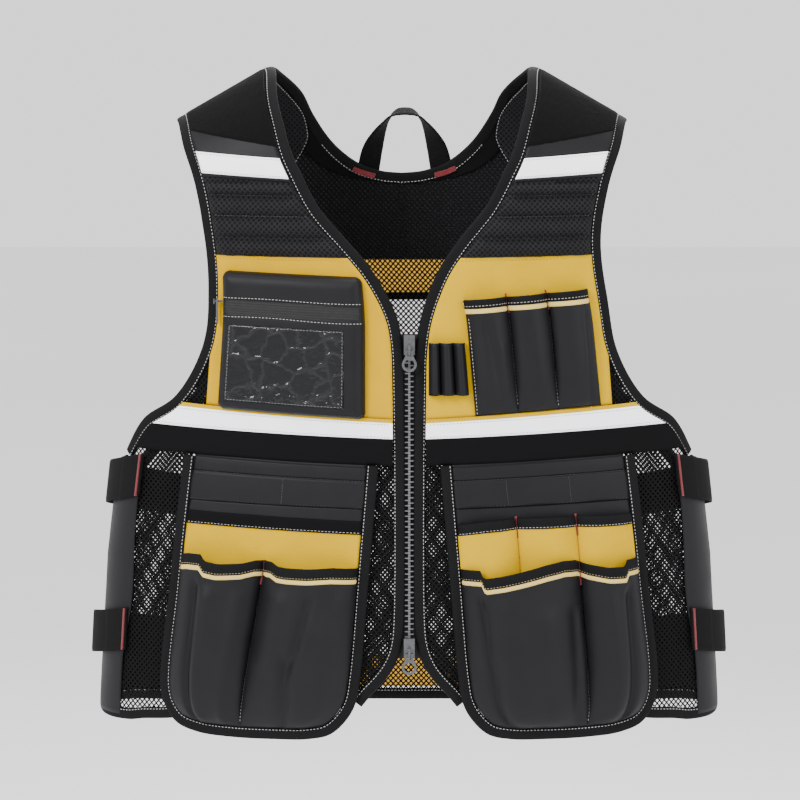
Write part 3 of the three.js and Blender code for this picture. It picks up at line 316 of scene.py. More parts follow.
class Nodes:
    """Short calls for building a material's nodes."""

    def __init__(self, name):
        self.mat = bpy.data.materials.new(name)
        self.mat.use_nodes = True
        self.tree = self.mat.node_tree
        self.tree.nodes.clear()
        self.out = self.add("ShaderNodeOutputMaterial")
        self.bsdf = self.add("ShaderNodeBsdfPrincipled")
        self.link(self.bsdf.outputs[0], self.out.inputs[0])

    def add(self, kind, **values):
        node = self.tree.nodes.new(kind)
        for key, value in values.items():
            if hasattr(node, key):
                setattr(node, key, value)
            else:
                node.inputs[key.replace("_", " ")].default_value = value
        return node

    def link(self, a, b):
        self.tree.links.new(a, b)

    def set(self, **values):
        for key, value in values.items():
            self.bsdf.inputs[key.replace("_", " ")].default_value = value

    def uv(self):
        return self.add("ShaderNodeUVMap", uv_map="cloth").outputs[0]

    def math(self, op, a, b=0.0):
        node = self.add("ShaderNodeMath", operation=op)
        for i, v in enumerate((a, b)):
            if isinstance(v, (int, float)):
                node.inputs[i].default_value = v
            else:
                self.link(v, node.inputs[i])
        return node.outputs[0]

    def noise(self, vector, scale, detail=3.0, rough=0.5):
        node = self.add("ShaderNodeTexNoise", Scale=scale, Detail=detail, Roughness=rough)
        self.link(vector, node.inputs["Vector"])
        return node.outputs["Fac"]

    def ramp(self, fac, stops):
        node = self.add("ShaderNodeValToRGB")
        ends = node.color_ramp.elements
        for i, (at, colour) in enumerate(stops):
            end = ends[i] if i < 2 else ends.new(at)
            end.position, end.color = at, colour
        self.link(fac, node.inputs[0])
        return node.outputs[0]

    def split(self, vector):
        node = self.add("ShaderNodeSeparateXYZ")
        self.link(vector, node.inputs[0])
        return node.outputs[0], node.outputs[1]

    def mix(self, fac, a, b):
        node = self.add("ShaderNodeMix", data_type="RGBA")
        self.link(fac, node.inputs[0])
        for i, v in ((6, a), (7, b)):
            if isinstance(v, tuple):
                node.inputs[i].default_value = v
            else:
                self.link(v, node.inputs[i])
        return node.outputs[2]

    def bump(self, height, distance, strength=1.0, before=None):
        node = self.add("ShaderNodeBump", Distance=distance, Strength=strength)
        self.link(height, node.inputs["Height"])
        if before is not None:
            self.link(before, node.inputs["Normal"])
        return node.outputs[0]

    def finish(self, colour=None, rough=None, normal=None):
        if colour is not None:
            self.link(colour, self.bsdf.inputs["Base Color"])
        if rough is not None:
            self.link(rough, self.bsdf.inputs["Roughness"])
        if normal is not None:
            self.link(normal, self.bsdf.inputs["Normal"])
        return self.mat


def tone(colour, share):
    return (*(min(1.0, c * share) for c in colour[:3]), 1)


def half_wave(n, axis, pitch, shift=0.0):
    turned = n.math("ADD", n.math("MULTIPLY", axis, 2 * math.pi / pitch), shift)
    return n.math("ADD", n.math("MULTIPLY", n.math("SINE", turned), 0.5), 0.5)


def woven(name, colour, pitch, rough, depth, crease, tint, spec, thin=0.0):
    """Plain woven cloth: crossing threads, soft creases and slight changes of tone."""
    n = Nodes(name)
    uv = n.uv()
    u, v = n.split(uv)
    threads = n.math("MULTIPLY", half_wave(n, u, pitch), half_wave(n, v, pitch))
    cloud = n.noise(uv, 0.035, 4)
    fine = n.noise(uv, 0.9, 2)
    shade = n.ramp(cloud, [(0.3, tone(colour, 1 - tint)), (0.7, tone(colour, 1 + tint))])
    shade = n.mix(n.math("MULTIPLY", threads, 0.35), shade, tone(colour, 0.62))
    normal = n.bump(n.math("ADD", threads, n.math("MULTIPLY", fine, 0.5)), depth, 0.7)
    normal = n.bump(cloud, crease, 0.6, normal)
    worn = n.math("ADD", n.math("MULTIPLY", cloud, 0.16), rough - 0.08)
    n.set(Sheen_Weight=0.0, Sheen_Roughness=0.5, Specular_IOR_Level=spec)
    if thin:
        through = n.add("ShaderNodeBsdfTranslucent")
        through.inputs[0].default_value = (1.0, 0.76, 0.30, 1)
        both = n.add("ShaderNodeMixShader")
        both.inputs[0].default_value = thin
        n.link(n.bsdf.outputs[0], both.inputs[1])
        n.link(through.outputs[0], both.inputs[2])
        n.link(both.outputs[0], n.out.inputs[0])
    return n.finish(shade, worn, normal)


def ribbed(name, colour, pitch, rough, depth):
    """Grosgrain or webbing: fine ribs across the tape and a slight fuzz."""
    n = Nodes(name)
    uv = n.uv()
    u, v = n.split(uv)
    ribs = half_wave(n, u, pitch)
    cross = half_wave(n, v, pitch * 0.5)
    cloud = n.noise(uv, 0.06, 4)
    fuzz = n.noise(uv, 2.2, 2)
    shade = n.ramp(cloud, [(0.3, tone(colour, 0.82)), (0.7, tone(colour, 1.2))])
    shade = n.mix(n.math("MULTIPLY", ribs, 0.4), shade, tone(colour, 0.55))
    height = n.math("ADD", ribs, n.math("ADD", n.math("MULTIPLY", cross, 0.3), n.math("MULTIPLY", fuzz, 0.5)))
    n.set(Sheen_Weight=0.0, Sheen_Roughness=0.6, Specular_IOR_Level=0.12)
    worn = n.math("ADD", n.math("MULTIPLY", cloud, 0.15), rough - 0.07)
    return n.finish(shade, worn, n.bump(height, depth, 0.8))


def knitted(name, colour, hole, pitch_u=5.2, pitch_v=5.4, size=0.42):
    """Mesh cloth over padding: staggered dark eyes in a raised net."""
    n = Nodes(name)
    uv = n.uv()
    u, v = n.split(uv)
    a = n.math("MULTIPLY", half_wave(n, u, pitch_u), half_wave(n, v, pitch_v))
    b = n.math("MULTIPLY", half_wave(n, u, pitch_u, math.pi), half_wave(n, v, pitch_v, math.pi))
    eyes = n.math("MAXIMUM", a, b)
    inside = n.ramp(eyes, [(size, (0, 0, 0, 1)), (size + 0.2, (1, 1, 1, 1))])
    cloud = n.noise(uv, 0.04, 3)
    shade = n.ramp(cloud, [(0.3, tone(colour, 0.85)), (0.7, tone(colour, 1.15))])
    shade = n.mix(inside, shade, hole)
    n.set(Sheen_Weight=0.02, Sheen_Roughness=0.6, Specular_IOR_Level=0.12)
    height = n.math("SUBTRACT", n.math("MULTIPLY", n.noise(uv, 1.3, 2), 0.4), inside)
    return n.finish(shade, n.math("ADD", n.math("MULTIPLY", cloud, 0.1), 0.7), n.bump(height, 0.0009, 0.9))


def fuzzy(name, colour):
    n = Nodes(name)
    uv = n.uv()
    fur = n.noise(uv, 1.1, 6, 0.75)
    patch = n.noise(uv, 0.08, 3)
    shade = n.ramp(fur, [(0.35, tone(colour, 0.5)), (0.75, tone(colour, 2.2))])
    n.set(Sheen_Weight=0.02, Sheen_Roughness=0.8, Specular_IOR_Level=0.05, Roughness=0.95)
    normal = n.bump(fur, 0.0012, 1.0)
    return n.finish(shade, None, n.bump(patch, 0.001, 0.5, normal))


def reflective(name):
    n = Nodes(name)
    uv = n.uv()
    u, v = n.split(uv)
    beads = n.math("MULTIPLY", half_wave(n, u, 1.1), half_wave(n, v, 1.1))
    cloud = n.noise(uv, 0.05, 4)
    shade = n.ramp(cloud, [(0.3, (0.88, 0.89, 0.93, 1)), (0.7, (0.97, 0.975, 1.0, 1))])
    # The emission is a painted glow: the tape shines by itself, standing in for the light it sends back.
    n.set(Specular_IOR_Level=0.5, Emission_Color=(0.92, 0.94, 1.0, 1), Emission_Strength=0.7)
    normal = n.bump(beads, 0.00008, 0.5)
    worn = n.math("ADD", n.math("MULTIPLY", cloud, 0.2), 0.3)
    return n.finish(shade, worn, n.bump(cloud, 0.0006, 0.4, normal))


def thread(name, colour):
    n = Nodes(name)
    pos = n.add("ShaderNodeNewGeometry").outputs["Position"]
    twist = n.noise(pos, 900, 2)
    shade = n.ramp(twist, [(0.3, tone(colour, 0.75)), (0.7, tone(colour, 1.1))])
    n.set(Sheen_Weight=0.3, Roughness=0.7)
    return n.finish(shade, None, n.bump(twist, 0.0002, 0.6))


def plastic(name, colour, rough=0.45, metallic=0.0):
    n = Nodes(name)
    pos = n.add("ShaderNodeNewGeometry").outputs["Position"]
    grain = n.noise(pos, 260, 4)
    shade = n.ramp(grain, [(0.3, tone(colour, 0.85)), (0.7, tone(colour, 1.15))])
    n.set(Metallic=metallic, Specular_IOR_Level=0.5)
    worn = n.math("ADD", n.math("MULTIPLY", grain, 0.2), rough - 0.1)
    return n.finish(shade, worn, n.bump(grain, 0.0001, 0.4))


def film(name):
    """Clear soft film with wrinkles that catch the light, and lines along the wrinkle crests painted lighter
    as a painted highlight.
    """
    n = Nodes(name)
    uv = n.uv()
    waves = n.noise(uv, 0.035, 2, 0.45)
    ridges = n.add("ShaderNodeTexVoronoi", feature="DISTANCE_TO_EDGE", Scale=0.045)
    warp = n.add("ShaderNodeTexNoise", Scale=0.08, Detail=2.0)
    n.link(uv, warp.inputs["Vector"])
    shifted = n.add("ShaderNodeVectorMath", operation="MULTIPLY_ADD")
    n.link(warp.outputs["Color"], shifted.inputs[0])
    shifted.inputs[1].default_value = (14, 14, 0)
    n.link(uv, shifted.inputs[2])
    n.link(shifted.outputs[0], ridges.inputs["Vector"])
    crest_and_painted_highlight = n.ramp(ridges.outputs["Distance"], [(0.0, (1, 1, 1, 1)), (0.09, (0, 0, 0, 1))])
    # The crests are painted a little lighter: a painted highlight along the wrinkles, besides their bump.
    shade = n.mix(n.math("MULTIPLY", crest_and_painted_highlight, 0.05), (0.004, 0.0045, 0.0052, 1), (0.2, 0.21, 0.22, 1))
    n.set(Specular_IOR_Level=0.1, Coat_Weight=0.55, Coat_Roughness=0.06, Alpha=0.85)
    normal = n.bump(waves, 0.0011, 0.7)
    normal = n.bump(crest_and_painted_highlight, 0.0005, 0.6, normal)
    n.link(normal, n.bsdf.inputs["Coat Normal"])
    return n.finish(shade, n.math("ADD", n.math("MULTIPLY", waves, 0.2), 0.1), normal)


MATS = {
    "nylon": woven("nylon", (0.0075, 0.0075, 0.0092), 0.7, 0.48, 0.00005, 0.0010, 0.1, 0.17),
    "band": woven("band", (0.0040, 0.0040, 0.0045), 0.9, 0.7, 0.0001, 0.0004, 0.1, 0.06),
    "strap": ribbed("strap", (0.004, 0.004, 0.0042), 1.8, 0.8, 0.0002),
    "binding": ribbed("binding", (0.0045, 0.0046, 0.0052), 1.5, 0.7, 0.00018),
    "yellow": woven("yellow", (0.62, 0.375, 0.0), 0.8, 0.65, 0.0001, 0.0008, 0.04, 0.02),
    # A darker copy of the same yellow, painted shade for the left chest panel.
    "yellow_painted_shade": woven("yellow_painted_shade", (0.60, 0.345, 0.0), 0.8, 0.65, 0.0001, 0.0008, 0.04, 0.02),
    "trim": woven("trim", (0.70, 0.52, 0.16), 0.8, 0.6, 0.0001, 0.0002, 0.05, 0.1),
    "net": ribbed("net", (0.0045, 0.0045, 0.005), 0.7, 0.7, 0.0002),
    "pad": knitted("pad", (0.012, 0.012, 0.014), (0.002, 0.002, 0.0023, 1)),
    "hook": fuzzy("hook", (0.0012, 0.0012, 0.0014)),
    # reflector tape, with a painted glow from emission
    "reflective": reflective("reflective"),
    "white": thread("white_thread", (0.42, 0.41, 0.39)),
    "grey": thread("grey_thread", (0.16, 0.16, 0.17)),
    "red": thread("red_thread", (0.20, 0.002, 0.008)),
    "black": thread("black_thread", (0.0015, 0.0015, 0.0016)),
    "gold": thread("gold_thread", (0.42, 0.20, 0.0)),
    "trim_thread": thread("trim_thread", (0.34, 0.27, 0.12)),
    "teeth": plastic("teeth", (0.10, 0.102, 0.108), 0.35),
    "metal": plastic("metal", (0.10, 0.102, 0.108), 0.3, 0.6),
    "film": film("film"),
    "lining": knitted("lining", (0.020, 0.021, 0.023), (0.075, 0.078, 0.082, 1), 5.2, 5.66, 0.5),
    "zip_tape": plastic("zip_tape", (0.004, 0.004, 0.0045), 0.75),
    "yellow_thin": woven("yellow_thin", (0.62, 0.38, 0.0), 0.8, 0.65, 0.0001, 0.0008, 0.04, 0.02, 0.6),
}


def add_object(name, points, faces, mat, uv=None, slot=None, stands_for=(), smooth_shade=True):
    """points in millimetres, faces as lists of rows of the same length, uv one pair a point."""
    points = np.asarray(points, float) * MM
    mesh = bpy.data.meshes.new(name)
    faces = [np.asarray(f, np.int32) for f in (faces if isinstance(faces, list) else [faces])]
    loops = np.concatenate([f.ravel() for f in faces])
    sizes = np.concatenate([np.full(len(f), f.shape[1], np.int32) for f in faces])
    mesh.vertices.add(len(points))
    mesh.vertices.foreach_set("co", points.astype(np.float32).ravel())
    mesh.loops.add(len(loops))
    mesh.loops.foreach_set("vertex_index", loops.astype(np.int32))
    mesh.polygons.add(len(sizes))
    mesh.polygons.foreach_set("loop_start", np.concatenate([[0], np.cumsum(sizes)[:-1]]).astype(np.int32))
    mesh.polygons.foreach_set("use_smooth", np.full(len(sizes), smooth_shade))
    if uv is not None:
        layer = mesh.uv_layers.new(name="cloth")
        layer.data.foreach_set("uv", np.asarray(uv, np.float32)[loops].ravel())
    mesh.update(calc_edges=True)
    mesh.validate()
    mesh.materials.append(MATS[mat])
    obj = bpy.data.objects.new(name, mesh)
    bpy.context.scene.collection.objects.link(obj)
    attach(obj, "vest")
    if stands_for:
        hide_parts(*stands_for)
    return obj


def grid_faces(rows, cols, base=0, flip=False):
    i = np.arange((rows - 1) * (cols - 1))
    r, c = i // (cols - 1), i % (cols - 1)
    a = base + r * cols + c
    quads = np.stack([a, a + 1, a + cols + 1, a + cols], -1)
    return quads[:, ::-1] if flip else quads


def slab(outer, inner, uv):
    """Two faces of points (rows by columns) joined round their edges."""
    rows, cols = outer.shape[:2]
    count = rows * cols
    ring = np.concatenate([
        np.arange(cols), np.arange(1, rows) * cols + cols - 1,
        (rows - 1) * cols + np.arange(cols - 2, -1, -1), np.arange(rows - 2, 0, -1) * cols,
    ])
    after = np.roll(ring, -1)
    edge = np.stack([ring + count, after + count, after, ring], -1)
    points = np.vstack([outer.reshape(-1, 3), inner.reshape(-1, 3)])
    faces = np.vstack([grid_faces(rows, cols), grid_faces(rows, cols, count, True), edge])
    return points, faces, np.vstack([uv.reshape(-1, 2)] * 2)


def patch(name, mat, place, outer, inner, size=(40, 40), side=1, columns=None, rows=None, **how):
    """A piece of cloth over a four-sided place; outer and inner are its two faces' heights."""
    s = np.linspace(0, 1, size[0] + 1) if columns is None else np.asarray(columns, float)
    t = np.linspace(0, 1, size[1] + 1) if rows is None else np.asarray(rows, float)
    S, T = np.meshgrid(s, t)
    U, W = place(S, T)
    top = outer(S, T) if callable(outer) else np.full(S.shape, float(outer))
    low = inner(S, T) if callable(inner) else np.full(S.shape, float(inner))
    outside = cloth(side * U, W, top)
    points = slab(outside, cloth(side * U, W, low), np.stack([side * U, W], -1))
    obj = add_object(name, points[0], points[1], mat, points[2], **how)
    return obj


# A binding's section: share of its width and of half its thickness
SECTION = np.array([
    (0.0, 0.0), (0.02, 0.45), (0.08, 0.82), (0.2, 1.0), (0.45, 1.03), (0.75, 0.95), (0.95, 0.78), (1.0, 0.6),
    (1.0, -0.6), (0.75, -0.95), (0.45, -1.0), (0.2, -1.0), (0.08, -0.82), (0.02, -0.45),
])


def path_tube(rings, uv_run, uv_across):
    """Closes rings of points into one body."""
    count, sides = rings.shape[:2]
    i = np.arange((count - 1) * sides)
    r, k = i // sides, i % sides
    n = (k + 1) % sides
    faces = np.stack([r * sides + k, r * sides + n, (r + 1) * sides + n, (r + 1) * sides + k], -1)
    ends = [np.arange(sides)[None, :], (np.arange(sides) + (count - 1) * sides)[None, ::-1]]
    uv = np.stack(np.broadcast_arrays(uv_run[:, None], uv_across[None, :]), -1).reshape(-1, 2)
    return rings.reshape(-1, 3), [faces, *ends], uv


def running(points):
    return np.concatenate([[0], np.cumsum(np.linalg.norm(np.diff(points, axis=0), axis=1))])


def binding(name, path, towards, middle=0.0, side=1, **how):
    """A rounded tape folded over an edge, slightly uneven as sewn."""
    half = BIND_THICK / 2
    run = running(path)
    wave = 0.25 * np.sin(run / 9.0) + 0.2 * np.sin(run / 3.7 + 1)
    rings = []
    for across, rise in SECTION:
        shifted = offset_path(path, towards * (BIND_WIDTH * across))
        rings.append(cloth(side * shifted[:, 0], shifted[:, 1], middle + half * rise * (0.96 + 0.03 * wave)))
    rings = np.stack(rings, 1)
    spread = SECTION[:, 0] * BIND_WIDTH + np.where(SECTION[:, 1] < 0, 20, 0)
    points, faces, uv = path_tube(rings, run, spread)
    tape = add_object(name, points, faces, "binding", uv, **how)


def capsules(starts, ends, ups, radius, flatten=0.8):
    """Small rounded threads from starts to ends, all in one set of points and faces."""
    along = ends - starts
    length = np.linalg.norm(along, axis=1, keepdims=True)
    along = along / length
    side = np.cross(along, ups)
    side /= np.linalg.norm(side, axis=1, keepdims=True)
    up = np.cross(side, along)
    shares = np.array([0.0, 0.2, 0.8, 1.0])
    sizes = np.array([0.3, 0.95, 0.95, 0.3])
    dips = np.array([-0.9, 0.05, 0.05, -0.9])
    angles = np.arange(5) * 2 * math.pi / 5
    pts = []
    for share, size, dip in zip(shares, sizes, dips):
        centre = starts + along * length * share + up * radius * dip
        for a in angles:
            pts.append(centre + (side * math.cos(a) + up * math.sin(a) * flatten) * radius * size)
    pts = np.stack(pts, 1)
    k = np.arange(5)
    n = (k + 1) % 5
    rows = [(r * 5, r * 5 + 5) for r in range(3)]
    quads = np.vstack([np.stack([low + k, low + n, high + n, high + k], -1) for low, high in rows])
    base = (np.arange(len(starts)) * 20)[:, None, None]
    caps = np.stack([np.arange(5)[::-1], np.arange(5) + 15])
    return pts.reshape(-1, 3), [(quads[None] + base).reshape(-1, 4), (caps[None] + base).reshape(-1, 5)]


thread_work = {}


JITTER = 0.12


def stitch(kind, uwo, pitch=3.4, length=2.2, radius=0.40, side=1):
    """Running stitches along rows of (u, w, offset)."""
    uwo = np.asarray(uwo, float)
    line = cloth(side * uwo[:, 0], uwo[:, 1], uwo[:, 2])
    above = cloth(side * uwo[:, 0], uwo[:, 1], uwo[:, 2] + 1.0)
    run = running(line)
    count = max(1, int(run[-1] / pitch))
    at = (np.arange(count) + 0.5) * run[-1] / count
    at = at + rng.uniform(-JITTER, JITTER, count)

    def read(values, where):
        return np.stack([np.interp(where, run, values[:, k]) for k in range(3)], -1)

    starts, ends = read(line, at - length / 2), read(line, at + length / 2)
    ups = read(above, at) - read(line, at)
    thread_work.setdefault(kind, []).append(capsules(starts, ends, ups, radius))


def bar_tack(kind, uwo, width=2.4, side=1):
    """A dense zigzag of thread along a short line."""
    uwo = np.asarray(uwo, float)
    line = cloth(side * uwo[:, 0], uwo[:, 1], uwo[:, 2])
    above = cloth(side * uwo[:, 0], uwo[:, 1], uwo[:, 2] + 1.0)
    run = running(line)
    count = max(4, int(run[-1] / 0.75))
    at = np.linspace(0.4, run[-1] - 0.4, count)
    centre = np.stack([np.interp(at, run, line[:, k]) for k in range(3)], -1)
    up = np.stack([np.interp(at, run, (above - line)[:, k]) for k in range(3)], -1)
    along = np.stack([np.interp(at, run, np.gradient(line[:, k], run)) for k in range(3)], -1)
    across = np.cross(along, up)
    across /= np.linalg.norm(across, axis=1, keepdims=True)
    across = across + along * 0.12
    thread_work.setdefault(kind, []).append(
        capsules(centre - across * width / 2, centre + across * width / 2, up, 0.5, 1.0))


def with_offset(path, offset):
    path = np.asarray(path, float)
    return np.column_stack([path, np.broadcast_to(offset, len(path))])


def row_points(place, S, T, height):
    """Rows of (u, w, offset) along a line over a place; S or T may be one number."""
    S, T = np.broadcast_arrays(np.asarray(S, float), np.asarray(T, float))
    return with_offset(np.column_stack(place(S, T)), height)


def stitch_row(kind, place, S, T, height, **how):
    stitch(kind, row_points(place, S, T, height), **how)


def tack_row(kind, place, S, T, height, width, side=1):
    bar_tack(kind, row_points(place, S, T, height), width, side)


def net(name, inside, u_range, w_range, side=1, pitch_u=5.2, pitch_w=5.66, offset=0.0, eye=0.6, **how):
    """A real open net: staggered diamond cells, each with an open eye, kept where inside says so."""
    rows = int((w_range[1] - w_range[0]) / (pitch_w / 2))
    cols = int((u_range[1] - u_range[0]) / pitch_u)
    R, C = np.meshgrid(np.arange(rows), np.arange(cols), indexing="ij")
    U = u_range[0] + (C + 0.5 * (R % 2)) * pitch_u
    W = w_range[0] + R * pitch_w / 2
    keep = inside(U, W)
    U, W = U[keep], W[keep]
    du, dw = pitch_u / 2, pitch_w / 2
    corners = np.array([(du, 0), (0, dw), (-du, 0), (0, -dw)])
    points_u, points_w, offsets = [], [], []
    for k in range(4):
        points_u.append(U + corners[k, 0])
        points_w.append(W + corners[k, 1])
        offsets.append(np.full(len(U), offset - 0.15))
    for k in range(4):
        points_u.append(U + corners[k, 0] * eye)
        points_w.append(W + corners[k, 1] * eye)
        offsets.append(np.full(len(U), offset + 0.15))
    pu, pw, po = (np.stack(v, 1).reshape(-1) for v in (points_u, points_w, offsets))
    base = (np.arange(len(U)) * 8)[:, None]
    quads = [np.array([k, (k + 1) % 4, 4 + (k + 1) % 4, 4 + k])[None, :] + base for k in range(4)]
    obj = add_object(name, cloth(side * pu, pw, po), np.vstack(quads), "net", np.stack([pu, pw], -1), **how)


# Net panels
def inside_polygon(corners):
    """Whether places lie inside a closed line of corners."""
    a, b = corners, np.roll(corners, -1, axis=0)

    def test(u, w):
        hits = np.zeros(u.shape, int)
        for (u0, w0), (u1, w1) in zip(a, b):
            if w0 == w1:
                continue
            crossing = ((w0 > w) != (w1 > w)) & (u < (u1 - u0) * (w - w0) / (w1 - w0) + u0)
            hits += crossing
        return hits % 2 == 1
    return test


TUCK = BIND_WIDTH - 2
under_edge, under_arm = offset_path(front_edge, TUCK), offset_path(armhole, -TUCK)
front_shape = inside_polygon(np.vstack([
    under_edge[::3], under_arm[under_arm[:, 1] < RIDGE_SEAM][::-3], offset_path(front_hem, TUCK)[::3],
]))
back_half = inside_polygon(np.vstack([
    [[-9, neckline[-1, 1] + TUCK]], offset_path(neckline, TUCK)[::-3],
    under_arm[under_arm[:, 1] >= RIDGE_SEAM][::3], offset_path(back_hem, -TUCK)[::3],
    [[-9, back_hem[-1, 1] - TUCK]],
]))


def back_shape(u, w):
    return back_half(np.abs(u), w)


for name, side in SIDES:
    net(f"net_front_{name}", front_shape, (0, 320), (-535, RIDGE_SEAM), side, slot="mesh_net",
        stands_for=(f"front_panel_{name}",))
net("net_back", back_shape, (-320, 320), (RIDGE_SEAM, 830), 1, slot="mesh_net", stands_for=("back_panel",))


# Places on the cloth
def spanning(top, bottom, inset=0.0, reach=None):
    """A place across one front panel between two rows, each given by its shares of the height."""
    def place(S, T):
        high, low = top[0] + (top[1] - top[0]) * S, bottom[0] + (bottom[1] - bottom[0]) * S
        z = -HEIGHT * (high * (1 - T) + low * T)
        w = z + DROP
        u = np.zeros_like(w)
        for _ in range(6):
            outer = run_at(arm_inner[:220], w)
            if reach is not None:
                outer = np.minimum(outer, reach(w))
            inner = run_at(edge_inner, w) + inset
            u = inner + (outer - inset - inner) * S
            w = height_on(ring_point(u, np.minimum(z, -DROP))[0], z)
        return u, w
    return place


pad_rows = np.concatenate([np.linspace(0, 0.56, 30)[:-1], np.linspace(0.56, 1, 73)])


def from_ridge(bottom, top):
    """A place from the top of the shoulder down to a row given by its shares of the height."""
    row = spanning(bottom, bottom)

    def place(S, T):
        w = top + (row(S, T * 0)[1] - top) * T
        a, b = run_at(edge_inner, w), run_at(arm_inner, w)
        return a + (b - a) * S, w
    return place


def near_ridge(w):
    """Thins what lies on the shoulder towards its top."""
    return 0.25 + 0.75 * smooth((140 - w) / 40)


# Padded yoke, its patches and the cloth of the chest and waist
RIBS = [0.167, 0.186, 0.217, 0.249, 0.277]
RIB_RISE = 7.2
YELLOW_HALF_WIDTH = 191.0
FRONT_TAPE_ROWS = {"shoulder": ([0.132, 0.126], [0.161, 0.155]), "waist": ([0.522, 0.505], [0.5455, 0.5335])}
pad_place = from_ridge([RIBS[4], RIBS[4]], 150.0)
hook_place = from_ridge([0.116, 0.098], 149.0)


def height_share(uw):
    """How far below the origin a place on the front lies, as a share of the height."""
    return -surface(*uw)[..., 2] / HEIGHT


def pad_rise(S, T):
    place = pad_place(S, T)
    z = height_share(place)
    height = np.full(z.shape, PAD_TOP - FIRST)
    end = np.minimum(1, np.minimum(S, 1 - S) / 0.07)
    for low, high in zip(RIBS[:-1], RIBS[1:]):
        inside = (z >= low) & (z <= high + 1e-9)
        share = np.clip((z - low) / (high - low), 0, 1)
        rib = 0.6 + RIB_RISE * np.maximum(0, np.sin(math.pi * share)) ** 0.75 * np.sqrt(end)
        height = np.where(inside, rib + 0.25 * np.sin(S * 40 + low * 90), height)
    border = np.minimum(1, np.minimum(S, 1 - S) / 0.03)
    return FIRST + height * (0.6 + 0.4 * border) * near_ridge(place[1])


def groove_line(z, side):
    """A row of dark stitches along the valley between two padded ribs; besides being stitches, they are
    painted shade, thick and close set to darken the valley.
    """
    S, T = np.linspace(0.04, 0.96, 60), np.linspace(0.3, 1.0, 300)
    depth = height_share(pad_place(S[:, None] + 0 * T, T[None, :] + 0 * S[:, None]))
    row = np.array([np.interp(z, d, T) for d in depth])
    stitch_row("black", pad_place, S, row, FIRST + 1.5, pitch=3.0, length=2.6, radius=0.65, side=side)


def yellow_reach(w):
    """How far out the yellow cloth runs: a little farther towards its lower edge."""
    return ring_run(YELLOW_HALF_WIDTH + 4 * np.clip((-160 - w) / 55, 0, 1), -270)


def hook_top(rough):
    def top(S, T):
        border = np.minimum(np.minimum(S, 1 - S), 1 - T) < 0.01
        return FIRST + (PAD_TOP + 1.7 - FIRST + rough * 0.4) * near_ridge(hook_place(S, T)[1]) - 1.2 * border
    return top


for side in (-1, 1):
    for rib in RIBS[1:4]:
        groove_line(rib, side)

for name, side in SIDES:
    pad = patch(f"padded_yoke_{name}", "pad", pad_place, pad_rise, 0.8, (48, 60), side, rows=pad_rows,
                slot="mesh_net", stands_for=(f"shoulder_pad_{name}",))
    patch(f"yoke_strip_{name}", "nylon", spanning([0.112, 0.094], [0.166, 0.16], 1.0), PAD_TOP + 0.45,
          PAD_TOP - 0.2, (30, 14), side, slot="nylon")
    patch(f"hook_patch_soft_{name}", "hook", hook_place, hook_top(0.5 * rng.standard_normal((49, 49))),
          lambda S, T: FIRST + 3.1 * near_ridge(hook_place(S, T)[1]), (48, 48), side,
          slot="hook_loop", stands_for=(f"hook_patch_{name}",))
    patch(f"shoulder_tape_{name}", "reflective", spanning(*FRONT_TAPE_ROWS["shoulder"], 1.0), PAD_TOP + 1.2,
          PAD_TOP + 0.4, (40, 8), side, slot="reflective", stands_for=(f"shoulder_reflector_{name}",))
    # The left chest panel takes the darker copy of the yellow: painted shade on the same cloth.
    colour = "yellow_painted_shade" if side < 0 else "yellow"
    patch(f"yellow_chest_{name}", colour, spanning([0.277, 0.276], [0.518, 0.501], 0.0, yellow_reach),
          lambda S, T: FIRST + CLOTH + 0.2 * np.sin(S * 9 + T * 5), FIRST, (50, 40), side,
          slot="yellow_cloth", stands_for=(f"yellow_panel_{name}",))
    patch(f"waist_cloth_{name}", "band", spanning([0.52, 0.503], [0.586, 0.573]),
          lambda S, T: BAND_TOP + 0.25 * np.sin(S * 14 + T * 3), BAND, (90, 12), side,
          slot="band", stands_for=(f"waist_band_{name}",))
    patch(f"waist_piping_{name}", "yellow", spanning([0.5165, 0.4995], [0.5225, 0.5055]), BAND_TOP + 0.8,
          BAND, (60, 4), side, slot="yellow_cloth")
    patch(f"waist_tape_{name}", "reflective", spanning(*FRONT_TAPE_ROWS["waist"]), BAND_TOP + 1.25,
          BAND_TOP + 0.5, (90, 8), side, slot="reflective", stands_for=(f"waist_reflector_{name}",))


# Bands on the back
HEM_YELLOW_SHARE = 0.42


def back_strip(name, mat, top, low, height, share=(-1.0, 1.0), **how):
    """A level band between two shares of the height, over a share of the back's width."""
    start, end = min(share), max(share)

    def place(S, T):
        w = 2 * ARC - (-HEIGHT * (top + (low - top) * T) + DROP)
        reach = np.where(w > arm_inner[-1, 1], run_at(back_side, w) - 6, run_at(arm_inner[120:], w))
        return (start + (end - start) * S) * reach, w
    return patch(name, mat, place, height + CLOTH, height, (120, 8), **how)


back_strip("back_yellow", "yellow_thin", 0.308, 0.362, FIRST, slot="yellow_cloth",
           stands_for=("back_yellow_band",))
back_strip("back_hem_yellow", "yellow_thin", 0.943, 0.993, FIRST, (-HEM_YELLOW_SHARE, HEM_YELLOW_SHARE),
           slot="yellow_cloth", stands_for=("back_hem_band",))
for name, side in SIDES:
    back_strip(f"back_hem_cloth_{name}", "band", 0.900, 0.985, FIRST, (HEM_YELLOW_SHARE * side, 0.985 * side),
               slot="band")
back_strip("back_seam_tape", "band", 0.362, 0.374, FIRST + 0.1, slot="band")

# Bindings, with the running stitch along each inner edge
edge_run = np.vstack([front_edge[front_edge[:, 1] < RIDGE_SEAM - 1], [[front_edge[-1, 0], RIDGE_SEAM - 0.3]]])
STITCH_AT = 0.86
HEM_STITCH_START = 95
NECK_STITCH_PIXEL = (316, 136)


def edge_stitch(path, towards, middle=0.0, side=1, face=1):
    row = offset_path(path, towards * BIND_WIDTH * STITCH_AT)
    stitch("white", with_offset(row, middle + face * (BIND_THICK / 2 * 0.9)), side=side)


